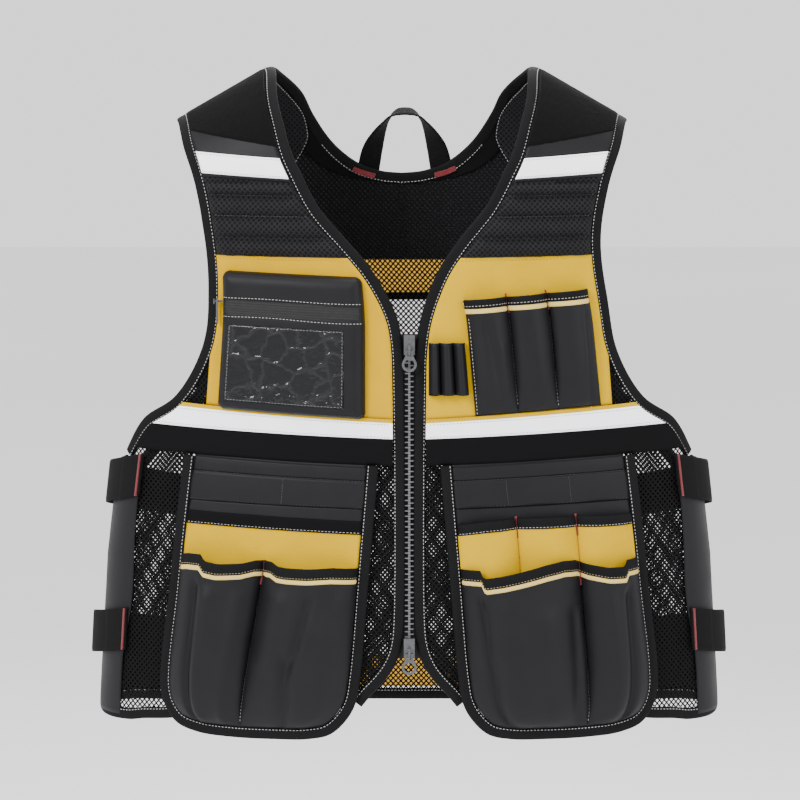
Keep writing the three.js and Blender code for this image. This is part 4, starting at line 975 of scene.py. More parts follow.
for name, side in SIDES:
    binding(f"edge_tape_{name}", edge_run, 1, side=side, slot="binding",
            stands_for=(f"front_edge_binding_{name}",))
    edge_stitch(edge_run, 1, side=side)
    edge_stitch(edge_run, 1, side=side, face=-1)
    binding(f"armhole_tape_{name}", armhole, -1, side=side, slot="binding",
            stands_for=(f"armhole_binding_{name}",))
    edge_stitch(armhole, -1, side=side)
    binding(f"hem_tape_{name}", front_hem, 1, side=side, slot="binding", stands_for=(f"hem_binding_{name}",))
    edge_stitch(front_hem[HEM_STITCH_START:], 1, side=side)
    hanging = HANGING + BIND_THICK / 2
    binding(f"tool_tape_{name}", tool_edge, -1, hanging, side, slot="binding",
            stands_for=(f"tool_panel_binding_{name}",))
    edge_stitch(tool_edge, -1, hanging, side)


def across_back(path):
    return np.vstack([path, (path[:-1] * [-1, 1])[::-1]])


binding("neck_tape", across_back(neckline), 1, slot="binding", stands_for=("neck_binding",))
edge_stitch(across_back(neckline), 1)
neck_start = seen([NECK_STITCH_PIXEL], -2.0, True)[0, 1]
edge_stitch(across_back(neckline[neckline[:, 1] > neck_start]), 1, face=-1)
binding("back_hem_tape", across_back(back_hem), -1, slot="binding", stands_for=("back_hem_binding",))
edge_stitch(across_back(back_hem), -1)
edge_stitch(across_back(back_hem), -1, face=-1)

# Side strips
inside_strip = smooth_path(outline(SIDE_STRIP), 60)


def strip_place(S, T):
    w = -HEIGHT * (0.6 + 0.383 * T) + DROP
    drop = np.clip(HEM_Z + HEM_CORNER + DROP - w, 0, HEM_CORNER)
    corner = HEM_CORNER - np.sqrt(HEM_CORNER**2 - drop**2)
    a, b = run_at(inside_strip, w), run_at(front_side, w) + 1 - corner
    return a + (b - a) * S, w


for name, side in SIDES:
    patch(f"side_cloth_{name}", "nylon", strip_place,
          lambda S, T: FIRST + CLOTH + 0.3 * np.sin(T * 11 + S * 2), FIRST, (16, 60), side, slot="band",
          stands_for=(f"side_strip_{name}",))


# Tool panels
heading = np.abs(np.gradient(tool_inner[:, 0])) > np.abs(np.gradient(tool_inner[:, 1])) * 1.2
turn_in, turn_out = int(np.argmax(heading)), len(heading) - 1 - int(np.argmax(heading[::-1]))
tool_left, tool_right = tool_inner[: turn_in + 1], tool_inner[turn_out:]
tool_base = resample(tool_inner[turn_in : turn_out + 1], 100)
TOOL_INSET = 0.3


def tool_shape(top, seam=None):
    """The tool panel below a row, down to its rounded bottom; seam leans a column from top to bottom."""
    def place(S, T):
        S, T = np.broadcast_arrays(np.asarray(S, float), np.asarray(T, float))
        if seam:
            at, high, low = seam
            S = S + (high + (low - high) * T - at) * np.where(S < at, S / at, (1 - S) / (1 - at))
        a0, b0 = top(np.array(0.0)) + DROP, top(np.array(1.0)) + DROP
        a1, b1 = tool_base[0, 1], tool_base[-1, 1]
        wa, wb = a0 + (a1 - a0) * T, b0 + (b1 - b0) * T
        ua, ub = run_at(tool_left, wa), run_at(tool_right, wb)
        ta, tb = run_at(tool_left, a0), run_at(tool_right, b0)
        grid = np.linspace(0, 1, len(tool_base))
        bu, bw = np.interp(S, grid, tool_base[:, 0]), np.interp(S, grid, tool_base[:, 1])
        tu, tw = ta + (tb - ta) * S, top(S) + DROP
        u = (1 - T) * tu + T * bu + (1 - S) * ua + S * ub
        u -= (1 - S) * (1 - T) * ta + S * (1 - T) * tb
        u -= (1 - S) * T * tool_base[0, 0] + S * T * tool_base[-1, 0]
        w = (1 - T) * tw + T * bw + (1 - S) * wa + S * wb
        w -= (1 - S) * (1 - T) * a0 + S * (1 - T) * b0 + (1 - S) * T * a1 + S * T * b1
        return u, w
    return place


def in_tool(top, low):
    """A place across the tool panel between two rows."""
    def place(S, T):
        w = (top(S) * (1 - T) + low(S) * T) + DROP
        a, b = run_at(tool_in, w) + TOOL_INSET, run_at(tool_out, w) - TOOL_INSET
        return a + (b - a) * S, w
    return place


def level(inner, outer):
    return lambda S: -HEIGHT * (inner + (outer - inner) * S)


def between_rows(rows):
    return lambda S: -HEIGHT * np.interp(S, rows[:, 0], rows[:, 1])


def below(row, depth):
    return lambda S: row(S) - depth


# The pocket mouths' points are places in the 800 by 800 view; folds are rows of
# centre, width, height, lean, first and last share of the pocket's depth
MOUTH_SEEN = {
    "left": [
        (358, 569), (335, 569.5), (312, 571), (290, 569.5), (282.5, 568), (275.6, 563), (266.6, 560.5),
        (259.5, 561.5), (248, 565), (225, 566), (213, 563), (208.5, 556), (195, 554.5), (181.6, 553.5),
    ],
    "right": [
        (458, 569.5), (478, 572), (481, 580.5), (499, 578), (520, 573), (540.6, 567), (558, 562.5),
        (572, 561), (582, 565), (600, 569.5), (616, 568.5), (618.5, 561.5), (630, 559),
    ],
}
UPPER_SEEN = [(457, 525.5), (482, 523), (508, 520), (530, 519), (568, 517), (595, 517), (625, 514)]
FOLDS = {
    "left": [
        (0.87, 0.020, -6.5, -0.03, 0.0, 1.2), (0.80, 0.05, 3.0, 0.0, 0.0, 1.2),
        (0.62, 0.03, 2.5, 0.02, 0.0, 1.2), (0.22, 0.022, -6.0, 0.13, 0.0, 0.75),
        (0.40, 0.025, -5.5, -0.13, 0.45, 1.25), (0.10, 0.05, 2.5, 0.03, 0.0, 1.2),
        (0.40, 0.05, 3.0, 0.03, 0.0, 0.7),
    ],
    "right": [
        (0.085, 0.02, -6.5, 0.07, 0.0, 1.2), (0.22, 0.09, 2.5, 0.03, 0.0, 1.2),
        (0.45, 0.08, 2.0, 0.0, 0.2, 1.2), (0.60, 0.03, -3.0, -0.02, 0.2, 1.2),
        (0.90, 0.02, -5.5, -0.03, 0.0, 1.2), (0.79, 0.04, 2.5, 0.0, 0.0, 1.1),
    ],
}
SEAMS = {"left": 0.52, "right": 0.66}
SEAM_LEAN = {"left": (0.52, 0.52, 0.585), "right": (0.66, 0.66, 0.645)}
TIER_ROWS = [(0.589, 0.579), (0.609, 0.600), (0.650, 0.644), (0.683, 0.674)]
TIER_THICK = [1.2, 2.2, 1.2]
LOWER_DEPTH, UPPER_DEPTH = 22.0, 11.0
MOUTH_TAPE, MOUTH_TRIM, PIPING_GAP = 10.5, 4.4, 0.2
UPPER_SEAMS = [0.33, 0.67]
POUCH_BASE = POCKET + CLOTH + 0.5


def swell(S, T, seams, depth, power=0.55):
    """The bulge of a pocket that is sewn down along its seams, less towards its bottom."""
    out = np.zeros(np.broadcast(S, T).shape)
    limits = [0.0, *seams, 1.0]
    for a, b in zip(limits[:-1], limits[1:]):
        share = np.clip((S - a) / (b - a), 0, 1)
        out = np.where((S >= a) & (S <= b), np.maximum(0, np.sin(math.pi * share)) ** power, out)
    drape = np.sqrt(np.maximum(0, 1 - np.maximum(0, (T - 0.15) / 0.85) ** 3))
    return depth * out * drape


def bump_at(S, T, centre, width, height, lean, t0, t1):
    """A soft vertical fold: a ridge or valley along T, leaning with lean."""
    d = (S - centre - lean * T) / width
    return height * np.exp(-(d**2)) * smooth((T - max(t0, 0.075)) / 0.12) * smooth((t1 - T) / 0.2)


def mouth_rows(pixels, seams, depth, lift):
    """A mouth's line over the pocket's swell, from where it is seen."""
    share = np.linspace(0, 1, len(pixels))
    for _ in range(8):
        uw = seen(pixels, lift + swell(share, share * 0, seams, depth))
        u, w = np.abs(uw[:, 0]), uw[:, 1]
        a, b = run_at(tool_in, w), run_at(tool_out, w)
        share = np.clip((u - a) / (b - a), 0, 1)
    rows = np.column_stack([share, -(w - DROP) / HEIGHT])
    rows = rows[np.argsort(rows[:, 0])]
    return between_rows(np.vstack([[0.0, rows[0, 1]], rows, [1.0, rows[-1, 1]]]))


def fine_columns(seams, each):
    """Columns that lie closer together beside the seams."""
    limits = [0.0, *seams, 1.0]
    spread = 0.5 - 0.5 * np.cos(math.pi * np.linspace(0, 1, each + 1))
    return np.unique(np.concatenate([a + (b - a) * spread for a, b in zip(limits[:-1], limits[1:])]))


def raised(base, seams, depth):
    """The height of a pocket's mouth above the cloth."""
    return lambda S, T: base + swell(S, T * 0, seams, depth)


def curved(height, lift, bow=0.5):
    """A height with a tape's slight bow across its width."""
    return lambda S, T: height(S, T) + lift + bow * np.sin(math.pi * T)


def pouch(S, T, name):
    shape = swell(S, T, [SEAMS[name]], LOWER_DEPTH)
    wrinkle = sum(bump_at(S, T, *fold) for fold in FOLDS[name])
    return POUCH_BASE + np.maximum(shape + wrinkle * np.minimum(1, shape / 8), 0)


MOUTH = {
    name: mouth_rows(pixels, [SEAMS[name]], LOWER_DEPTH, POCKET + CLOTH + 3.0)
    for name, pixels in MOUTH_SEEN.items()
}
POUCH_PLACE = {name: tool_shape(below(MOUTH[name], MOUTH_TAPE * 0.5), SEAM_LEAN[name]) for name in MOUTH}
for name, side in SIDES:
    patch(f"tool_cloth_{name}", "nylon", tool_shape(level(0.583, 0.571)), HANGING_TOP, HANGING, (50, 60),
          side, slot="nylon", stands_for=(f"tool_panel_{name}",))
    for i, thick in enumerate(TIER_THICK):
        patch(f"tool_tier_{name}_{i}", "nylon", in_tool(level(*TIER_ROWS[i]), level(*TIER_ROWS[i + 1])),
              lambda S, T, k=thick: POCKET + k + 0.5 * np.sin(math.pi * T) + 0.15 * np.sin(S * 17), POCKET,
              (60, 10), side, slot="nylon", stands_for=(f"tool_bands_{name}",) if i == 0 else ())
    seams = [SEAMS[name]]
    patch(f"lower_pouch_{name}", "nylon", POUCH_PLACE[name], lambda S, T, n=name: pouch(S, T, n) + 1.4,
          lambda S, T, n=name: pouch(S, T, n) + 0.1, side=side, columns=fine_columns(seams, 38),
          rows=np.linspace(0, 1, 64), slot="nylon", stands_for=(f"lower_pocket_{name}",))

    # Black tape, yellow piping and stitches along the mouth
    mouth, columns = MOUTH[name], fine_columns(seams, 60)
    high = raised(POUCH_BASE, seams, LOWER_DEPTH)
    patch(f"lower_mouth_{name}_tape", "binding", in_tool(mouth, below(mouth, MOUTH_TAPE)), curved(high, 2.2),
          curved(high, -0.4, 0.0), side=side, columns=columns, rows=np.linspace(0, 1, 7), slot="binding",
          stands_for=(f"lower_pocket_binding_{name}",))
    trim_place = in_tool(below(mouth, MOUTH_TAPE + PIPING_GAP), below(mouth, MOUTH_TAPE + MOUTH_TRIM))
    patch(f"lower_mouth_{name}_piping", "trim", trim_place, curved(high, 2.0), high, side=side,
          columns=columns, rows=np.linspace(0, 1, 5), slot="yellow_cloth")
    S = np.linspace(0, 1, 220)
    tape_row = below(mouth, MOUTH_TAPE * STITCH_AT)
    stitch_row("trim_thread", in_tool(tape_row, tape_row), S, 0.0, high(S, S) + 2.5, side=side, pitch=3.0,
               length=2.0, radius=0.3)

# Yellow facing on the left, yellow pocket with its mouth on the right
patch("yellow_facing", "yellow", in_tool(level(0.685, 0.676), level(0.775, 0.77)),
      lambda S, T: POCKET + CLOTH + 0.5 * np.sin(S * 7) * T, POCKET, (60, 20), -1, slot="yellow_cloth",
      stands_for=("yellow_facing_left",))
patch("tool_lip_left", "band", in_tool(level(0.669, 0.660), level(0.689, 0.680)), POCKET + CLOTH + 1.2,
      POCKET + 0.5, (50, 6), -1, slot="band")
upper_mouth = mouth_rows(UPPER_SEEN, UPPER_SEAMS, UPPER_DEPTH, POCKET + 2.5)
upper_place = in_tool(below(upper_mouth, MOUTH_TAPE * 0.7), level(0.757, 0.748))
upper_high = raised(POCKET, UPPER_SEAMS, UPPER_DEPTH)


def upper_rise(S, T):
    return POCKET + swell(S, T * 0.7, UPPER_SEAMS, UPPER_DEPTH)


patch("upper_pouch", "yellow", upper_place,
      lambda S, T: upper_rise(S, T) + 1.5 + 0.5 * np.sin(S * 25 + T * 3),
      lambda S, T: upper_rise(S, T) + 0.2, columns=fine_columns(UPPER_SEAMS, 34), rows=np.linspace(0, 1, 30),
      slot="yellow_cloth", stands_for=("upper_pocket_right",))
patch("upper_mouth_tape", "binding", in_tool(upper_mouth, below(upper_mouth, MOUTH_TAPE)),
      curved(upper_high, 2.2, 0.4), upper_high, columns=fine_columns(UPPER_SEAMS, 34),
      rows=np.linspace(0, 1, 6), slot="binding", stands_for=("upper_pocket_binding_right",))


# Chest pieces
def blend(start, end, share):
    return [a + (b - a) * share for a, b in zip(start, end)]


def four_sided(top_in, top_out, low_in, low_out):
    """A place between four corners, given as shares of the half width and of the height."""
    def place(S, T):
        top, low = blend(top_in, top_out, S), blend(low_in, low_out, S)
        x, z = (a * (1 - T) + b * T for a, b in zip(top, low))
        uw = flat(x * HALF_WIDTH, -z * HEIGHT)
        return uw[..., 0], uw[..., 1]
    return place


PEN_SEAMS, PEN_DEPTH = [0.34, 0.66], 13.0
LOOP_SEAMS, LOOP_DEPTH = [0.3, 0.66], 9.0
PEN_FOLDS = [
    (0.13, 0.03, -1.8, 0.1, 0.0, 1.1), (0.45, 0.03, -1.0, 0.04, 0.2, 1.0),
    (0.93, 0.02, -2.4, -0.01, 0.0, 1.1), (0.25, 0.03, 1.0, 0.0, 0.3, 1.0),
]
pen_place = four_sided((0.174, 0.349), (0.563, 0.336), (0.206, 0.512), (0.6, 0.501))
pen_tape_place = four_sided((0.17, 0.339), (0.56, 0.326), (0.173, 0.352), (0.562, 0.339))
pen_trim_place = four_sided((0.173, 0.3525), (0.562, 0.3395), (0.1745, 0.3595), (0.5635, 0.3465))
loop_place = four_sided((0.06, 0.402), (0.172, 0.402), (0.06, 0.48), (0.186, 0.48))
pen_high = raised(CHEST, PEN_SEAMS, PEN_DEPTH)
loop_high = raised(CHEST, LOOP_SEAMS, LOOP_DEPTH)
pen_columns = fine_columns(PEN_SEAMS, 34)


def pen_rise(S, T):
    shape = swell(S, T, PEN_SEAMS, PEN_DEPTH)
    wrinkle = sum(bump_at(S, T, *fold) for fold in PEN_FOLDS)
    return CHEST + np.maximum(0, shape + wrinkle * np.minimum(1, shape / 6))


patch("pen_pouch", "nylon", pen_place, lambda S, T: pen_rise(S, T) + 1.4, lambda S, T: pen_rise(S, T) + 0.1,
      columns=fine_columns(PEN_SEAMS, 28), rows=np.linspace(0, 1, 44), slot="nylon",
      stands_for=("pen_pocket",))
patch("pen_tape", "binding", pen_tape_place, curved(pen_high, 2.3, 0.4), curved(pen_high, -0.3, 0.0),
      columns=pen_columns, rows=np.linspace(0, 1, 6), slot="binding", stands_for=("pen_pocket_binding",))
patch("pen_piping", "trim", pen_trim_place, curved(pen_high, 2.0, 0.4), pen_high, columns=pen_columns,
      rows=np.linspace(0, 1, 5), slot="yellow_cloth")
patch("pen_loop_tape", "nylon", loop_place, curved(loop_high, 1.5, 0.0), curved(loop_high, 0.1, 0.0),
      columns=fine_columns(LOOP_SEAMS, 20), rows=np.linspace(0, 1, 16), slot="nylon",
      stands_for=("pen_loops",))

# Zipped chest pocket
POUCH_DEPTH, POUCH_WALL = 11.0, 1.6
CORNER_SHARE = 0.10
ZIP_TOP, ZIP_SPAN, ZIP_INSET = 0.20, 0.11, 0.012
pouch_place = four_sided((0.137, 0.305), (0.567, 0.298), (0.137, 0.517), (0.598, 0.506))
border_cols = np.unique(np.concatenate([
    np.linspace(0, 0.14, 16), np.linspace(0.14, 0.86, 36), np.linspace(0.86, 1, 16),
]))


def shoulder_of(share):
    return np.sqrt(np.maximum(0, 1 - (1 - np.clip(share / 0.1, 0, 1)) ** 2.4))


def chest_rise(S, T):
    return POUCH_DEPTH * np.minimum(shoulder_of(np.minimum(S, 1 - S)), shoulder_of(np.minimum(T, 1 - T)))


def chest_top(S, T):
    sag = 0.5 * np.sin(S * 6 + 1) * np.sin(T * 5)
    groove = 1.3 * np.exp(-(((T - ZIP_TOP - ZIP_SPAN / 2) / 0.052) ** 4))
    return CHEST + chest_rise(S, T) + POUCH_WALL + sag - groove * (chest_rise(S, T) > 9)


def rounded(place):
    """Rounds a place's corners by drawing its grid in."""
    def drawn_in(S, T):
        straight = 1 - CORNER_SHARE
        a, b = 2 * S - 1, 2 * T - 1
        over_a, over_b = (np.maximum(np.abs(v) - straight, 0) / CORNER_SHARE for v in (a, b))
        length = np.sqrt(over_a**2 + over_b**2)
        shrink = np.maximum(np.maximum(over_a, over_b), 1e-6) / np.maximum(length, 1e-6)
        a, b = (np.sign(v) * (np.minimum(np.abs(v), straight) + over * shrink * CORNER_SHARE)
                for v, over in ((a, over_a), (b, over_b)))
        return place((a + 1) / 2, (b + 1) / 2)
    return drawn_in


def zip_place(S, T):
    return pouch_place(ZIP_INSET + (1 - 2 * ZIP_INSET) * S, ZIP_TOP + ZIP_SPAN * T)


def zip_height(S, T):
    s = ZIP_INSET + (1 - 2 * ZIP_INSET) * S
    ridge = 0.5 * np.exp(-(((T - 0.5) / 0.10) ** 2)) + 0.25 * np.cos(T * 2 * math.pi * 6)
    return CHEST + POUCH_DEPTH * shoulder_of(np.minimum(s, 1 - s)) + POUCH_WALL - 0.3 + ridge


patch("chest_pouch", "nylon", rounded(pouch_place), chest_top, CHEST, side=-1, columns=border_cols,
      rows=border_cols, slot="nylon", stands_for=("chest_pocket",))
patch("chest_zip_tape", "zip_tape", zip_place, zip_height, lambda S, T: zip_height(S, T) - 1.6, side=-1,
      columns=border_cols, rows=np.linspace(0, 1, 40), slot="zip_cloth", stands_for=("chest_zip",))

# Clear window with wrinkles
WINDOW_S, WINDOW_T = (0.14, 0.935), (0.38, 0.925)
window_base = CHEST + POUCH_DEPTH + POUCH_WALL


def window_place(S, T):
    across = WINDOW_S[0] + (WINDOW_S[1] - WINDOW_S[0]) * S
    return pouch_place(across, WINDOW_T[0] + (WINDOW_T[1] - WINDOW_T[0]) * T)


def wrinkles(S, T):
    """Broad, middle and fine waves, strongest along the bottom, and one long crease."""
    x, y = S * 100, T * 75
    broad = np.sin(x * 0.31 + 2.4 * np.sin(y * 0.17)) * np.sin(y * 0.27 + 1.7 * np.sin(x * 0.13))
    middle = np.sin(x * 0.83 + 3 * np.sin(y * 0.41 + 1)) * np.sin(y * 0.67 + 2 * np.sin(x * 0.37))
    fine = np.sin(x * 1.9 + 2.5 * np.sin(y * 0.7)) * np.sin(y * 1.3 + 2 * np.sin(x * 0.9 + 1))
    low = np.exp(-(((T - 0.93) / 0.09) ** 2))
    right = np.exp(-(((S - 0.12) / 0.25) ** 2))
    crease = 0.9 * np.exp(-(((S - 0.64 - 0.01 * np.sin(T * 9)) / 0.006) ** 2))
    even = 0.32 * broad + 0.16 * middle + 0.10 * fine
    return even + (0.55 * middle + 0.5 * fine) * low + 0.25 * middle * right + crease


def window_top(S, T):
    edge = np.minimum(1, np.minimum(np.minimum(S, 1 - S) / 0.015, np.minimum(T, 1 - T) / 0.02))
    return window_base + 0.5 + (0.5 + wrinkles(S, T)) * edge


patch("clear_window", "film", window_place, window_top, window_base + 0.2, (76, 56), -1, slot="clear_film",
      stands_for=("id_window",))

# Rows of stitches on the bands and the chest
ALONG = np.linspace(0.01, 0.99, 120)
TAPE_STITCHES = (("shoulder", PAD_TOP + 1.3, (0.09, 0.91)), ("waist", BAND_TOP + 1.4, (0.11, 0.89)))
ZIP_ROWS = ((0.186, 0.004), (0.322, 0.006))
for name, side in SIDES:
    for kind, height, rows in TAPE_STITCHES:
        for row in rows:
            stitch_row("grey", spanning(*FRONT_TAPE_ROWS[kind], 0.5), ALONG, row, height, side=side,
                       radius=0.33, pitch=3.2, length=2.0)
    piping = [0.5185, 0.5015]
    stitch_row("trim_thread", spanning(piping, piping, 0.5), ALONG, 0.0, BAND_TOP + 0.95, side=side,
               radius=0.22, pitch=3.0, length=2.0)
    top_row = [0.2815, 0.2805]
    stitch_row("gold", spanning(top_row, top_row, 0.5, yellow_reach), ALONG, 0.0, FIRST + CLOTH + 0.2,
               side=side, radius=0.25)

for row, wave in ZIP_ROWS:
    S = np.linspace(0.015, 0.985, 140)
    T = row + wave * np.sin(S * 7)
    stitch_row("white", pouch_place, S, T, chest_top(S, T) + 0.25, side=-1, radius=0.34)
S, T = resample(np.array([(0.0, 0.0), (1.0, 0.0), (1.0, 1.0), (0.0, 1.0), (0.0, 0.0)]), 200).T
stitch_row("grey", window_place, 0.012 + 0.976 * S, 0.015 + 0.97 * T, window_base + 1.3, side=-1, radius=0.28,
           pitch=3.2, length=2.2)

for seam in PEN_SEAMS:
    low = 0.93 if seam < 0.5 else 0.97
    stitch_row("white", pen_place, seam, np.linspace(0.10, low, 60), CHEST + 1.9, radius=0.34)
    tack_row("red", pen_place, seam, np.linspace(-0.09, 0.09, 20), CHEST + 3.3, 2.2)
T = np.linspace(0.1, 0.99, 60)
stitch_row("white", pen_place, 0.014, T, pen_rise(np.full(60, 0.014), T) + 1.8, radius=0.32)
stitch_row("white", pen_place, -0.005, np.linspace(-0.075, -0.01, 20), CHEST + 2.9, radius=0.34)
S = np.linspace(0.0, 1.0, 120)
stitch_row("white", pen_tape_place, S, 0.72, pen_high(S, S) + 2.75, radius=0.32)

# Rows of stitches on the tool panels
S = np.linspace(0.005, 0.995, 150)
TIER_STITCHES = {
    "left": (
        ((0.609, 0.600), "black", 2.2), ((0.648, 0.642), "black", 2.2), ((0.6865, 0.6775), "white", 3.0),
    ),
    "right": (((0.609, 0.600), "black", 2.2), ((0.648, 0.642), "black", 2.2)),
}
TIER_MARKS = {"left": (0.46,), "right": (0.295, 0.655)}
for name, side in SIDES:
    place, seam = POUCH_PLACE[name], SEAMS[name]
    stitch_row("white", place, seam, np.linspace(0.06, 0.97, 100), POUCH_BASE + 1.9, side=side, radius=0.34)
    tack_row("red", place, seam, np.linspace(-0.03, 0.115, 24), POUCH_BASE + 4.0, 2.6, side)
    for row, kind, height in TIER_STITCHES[name]:
        stitch_row(kind, in_tool(level(*row), level(*row)), S, 0.0, POCKET + height, side=side, radius=0.3)

tack_place = in_tool(below(upper_mouth, -2.0), below(upper_mouth, 19.0))
for seam in UPPER_SEAMS:
    stitch_row("gold", upper_place, seam, np.linspace(0.12, 0.9, 40), POCKET + 1.9, radius=0.3)
    tack_row("red", tack_place, seam, np.linspace(0, 1, 24), POCKET + 3.2, 2.4)
tape_row = below(upper_mouth, MOUTH_TAPE * 0.85)
stitch_row("white", in_tool(tape_row, tape_row), S, 0.0, upper_high(S, S) + 2.6, radius=0.3)
for name, side in SIDES:
    for mark in TIER_MARKS[name]:
        stitch_row("black", in_tool(level(0.611, 0.602), level(0.648, 0.642)), mark, np.linspace(0, 1, 30),
                   POCKET + 2.9, side=side, radius=0.42, pitch=2.6, length=2.3)


# Straps at the sides: front and back heights as shares, where they start, and how far they stand off
STRAPS = (("upper", 0.614, 0.70, 0.85, 5.0), ("lower", 0.85, 0.925, 0.9, 8.0))
STRAP_WIDTH = 42.0
STRAP_AT = BIND_THICK / 2 + 1.7


def strap_points(strap, side, share, rise, height):
    _, front, back, share_x, slack = strap
    z = -(front + (back - front) * share) * HEIGHT
    start = ring_run(share_x * HALF_WIDTH, -front * HEIGHT)
    half = side_run(z)
    run = start + (1.5 * half - start) * share
    stand = slack * np.exp(-(((run - half) / 34) ** 2))
    level_half = side_run(z + rise)
    run = run + level_half - half
    past = run > level_half
    u = np.where(past, 2 * level_half - run, run)
    w = np.where(past, 2 * ARC - (z + rise + DROP), z + rise + DROP)
    return cloth(u, w, STRAP_AT + stand + height) * [side, 1, 1]


def unit(vectors):
    return vectors / np.linalg.norm(vectors, axis=1, keepdims=True)


for name, side in SIDES:
    for strap in STRAPS:
        share, rise = np.meshgrid(
            np.linspace(-0.008, 1, 110), np.linspace(-STRAP_WIDTH / 2, STRAP_WIDTH / 2, 15), indexing="ij")
        fold = 1.1 * (share < 0.10) + 0.25 * np.sin(share * 30) * (rise / STRAP_WIDTH)
        soft = 0.5 * (np.abs(rise) > STRAP_WIDTH / 2 - 1)
        outer = strap_points(strap, side, share, rise, 1.0 + fold - soft)
        inner = strap_points(strap, side, share, rise, -1.0 + soft)
        points, faces, uvs = slab(outer, inner, np.stack([share * 300, rise], -1))
        webbing = add_object(f"{strap[0]}_webbing_{name}", points, faces, "strap", uvs, slot="band",
                             stands_for=(f"{strap[0]}_strap_{name}",))
        rise = np.linspace(-STRAP_WIDTH / 2 + 1, STRAP_WIDTH / 2 - 1, 40)
        end = np.full(40, 0.004)
        centre = strap_points(strap, side, end, rise, 2.4)
        lifted = strap_points(strap, side, end, rise, 3.4)
        across = unit(strap_points(strap, side, np.full(40, 0.02), rise, 2.4) - centre)
        slant = across + unit(np.gradient(centre, axis=0)) * 0.15
        thread_work.setdefault("red", []).append(
            capsules(centre - slant * 1.5, centre + slant * 1.5, lifted - centre, 0.55, 1.0))


# Webbing loop at the back of the neck: flat feet, turned on edge at the top
# Rows of share of the half loop, distance from its middle, height and flatness
LOOP_ROWS = np.array([
    (0.0, 0.0, 61.5, 0.0), (0.12, 6.0, 61.0, 0.0), (0.24, 11.5, 58.5, 0.12), (0.34, 15.5, 55.0, 0.28),
    (0.45, 19.5, 50.0, 0.36), (0.60, 25.0, 40.0, 0.58), (0.78, 31.0, 26.0, 0.85), (0.90, 34.5, 14.0, 0.97),
    (1.0, 37.5, -6.0, 1.0),
])
LOOP_HALF, LOOP_HALF_WIDTH, LOOP_SHIFT = 37.5, 11.0, 4.0
t = np.linspace(-1, 1, 141)
reach, rise, flatness = (np.interp(np.abs(t), LOOP_ROWS[:, 0], LOOP_ROWS[:, k]) for k in (1, 2, 3))
x = np.sign(t) * reach
foot = cloth(np.clip(x, -LOOP_HALF, LOOP_HALF), np.full_like(x, float(neckline[-1, 1])), 3.6)
foot_y, foot_z = foot[:, 1].mean(), foot[len(t) // 2, 2]
slope = np.interp(np.abs(x), [0, 20, 40], [0.0, 0.3, 3.0])
centre = np.column_stack([x - LOOP_SHIFT, foot_y - 0.02 * rise + 1.0, foot_z + rise + slope])
kernel = np.ones(9) / 9
padded = np.vstack([np.repeat(centre[:1], 4, 0), centre, np.repeat(centre[-1:], 4, 0)])
centre = np.stack([np.convolve(padded[:, k], kernel, "valid") for k in range(3)], -1)
tangent = unit(np.gradient(centre, axis=0))
plane = np.stack([-tangent[:, 2], np.zeros(len(t)), tangent[:, 0]], -1)
deep = np.tile([0.0, -0.966, -0.259], (len(t), 1))
angle = np.arccos(np.clip(flatness, 0, 1))
width_dir = plane * np.cos(angle)[:, None] + deep * np.sin(angle)[:, None]
width_dir -= tangent * (width_dir * tangent).sum(1, keepdims=True)
width_dir = unit(width_dir)
flip = np.sign((width_dir[1:] * width_dir[:-1]).sum(1))
width_dir[1:] *= np.cumprod(np.where(flip == 0, 1, flip))[:, None]
normal = np.cross(tangent, width_dir)
across = np.linspace(-1, 1, 9)
thickness = (1.0 - 0.5 * (np.abs(across) > 0.95))[:, None]
middle = centre[:, None] + width_dir[:, None] * (LOOP_HALF_WIDTH * across)[:, None]
loop_faces = [middle + normal[:, None] * sign * thickness for sign in (1, -1)]
uv = np.stack(np.broadcast_arrays(running(centre)[:, None], across[None, :] * 12), -1)
points, faces, uvs = slab(*loop_faces, uv)
loop = add_object("grab_webbing", points, faces, "strap", uvs, slot="band", stands_for=("grab_loop",))

# Lined yoke inside the back, with a stitched tab at each shoulder
lining_low = 2 * ARC - (-HEIGHT * 0.310 + DROP)
neck_tucked, arm_tucked = offset_path(neckline, TUCK), under_arm[under_arm[:, 1] > RIDGE_SEAM]
TAB_SEEN = [(275, 78.5), (285, 89), (296.5, 102), (304, 114), (308, 131), (308, 138), (303, 150), (296, 162)]
TAB_WIDTH, TAB_STITCH_IN = 34.0, 1.2
tab_edge = smooth_path(seen(TAB_SEEN, -3.0, True) * [-1, 1], 80)
NECK_TACKS_SEEN = ([(353, 169), (364, 173), (375, 176)], [(435, 175), (446, 172), (456, 168)])


def lining_place(S, T):
    top = RIDGE_SEAM + 2
    w = top + (lining_low - top) * T
    a = np.where(w < neck_tucked[-1, 1], np.interp(w, neck_tucked[:, 1], neck_tucked[:, 0]), 0)
    b = np.interp(w, arm_tucked[:, 1], arm_tucked[:, 0])
    return a + (b - a) * S, w


def along_path(path, share):
    at = np.linspace(0, 1, len(path))
    return np.stack([np.interp(share, at, path[:, k]) for k in (0, 1)], -1)


def tab_place(S, T):
    edge = along_path(tab_edge, T)
    return np.minimum(edge[..., 0] + TAB_WIDTH * S, 205), edge[..., 1]


neck_line = resample(offset_path(neckline, 9.5), 100)
facing_width = 17 * smooth(np.linspace(2.4, 0, 101))
facing_low = neck_line + np.stack([facing_width, facing_width * 0.35], -1)


def facing_place(S, T):
    low, high = along_path(neck_line, T), along_path(facing_low, T)
    both = low + (high - low) * S[..., None]
    return both[..., 0], both[..., 1]


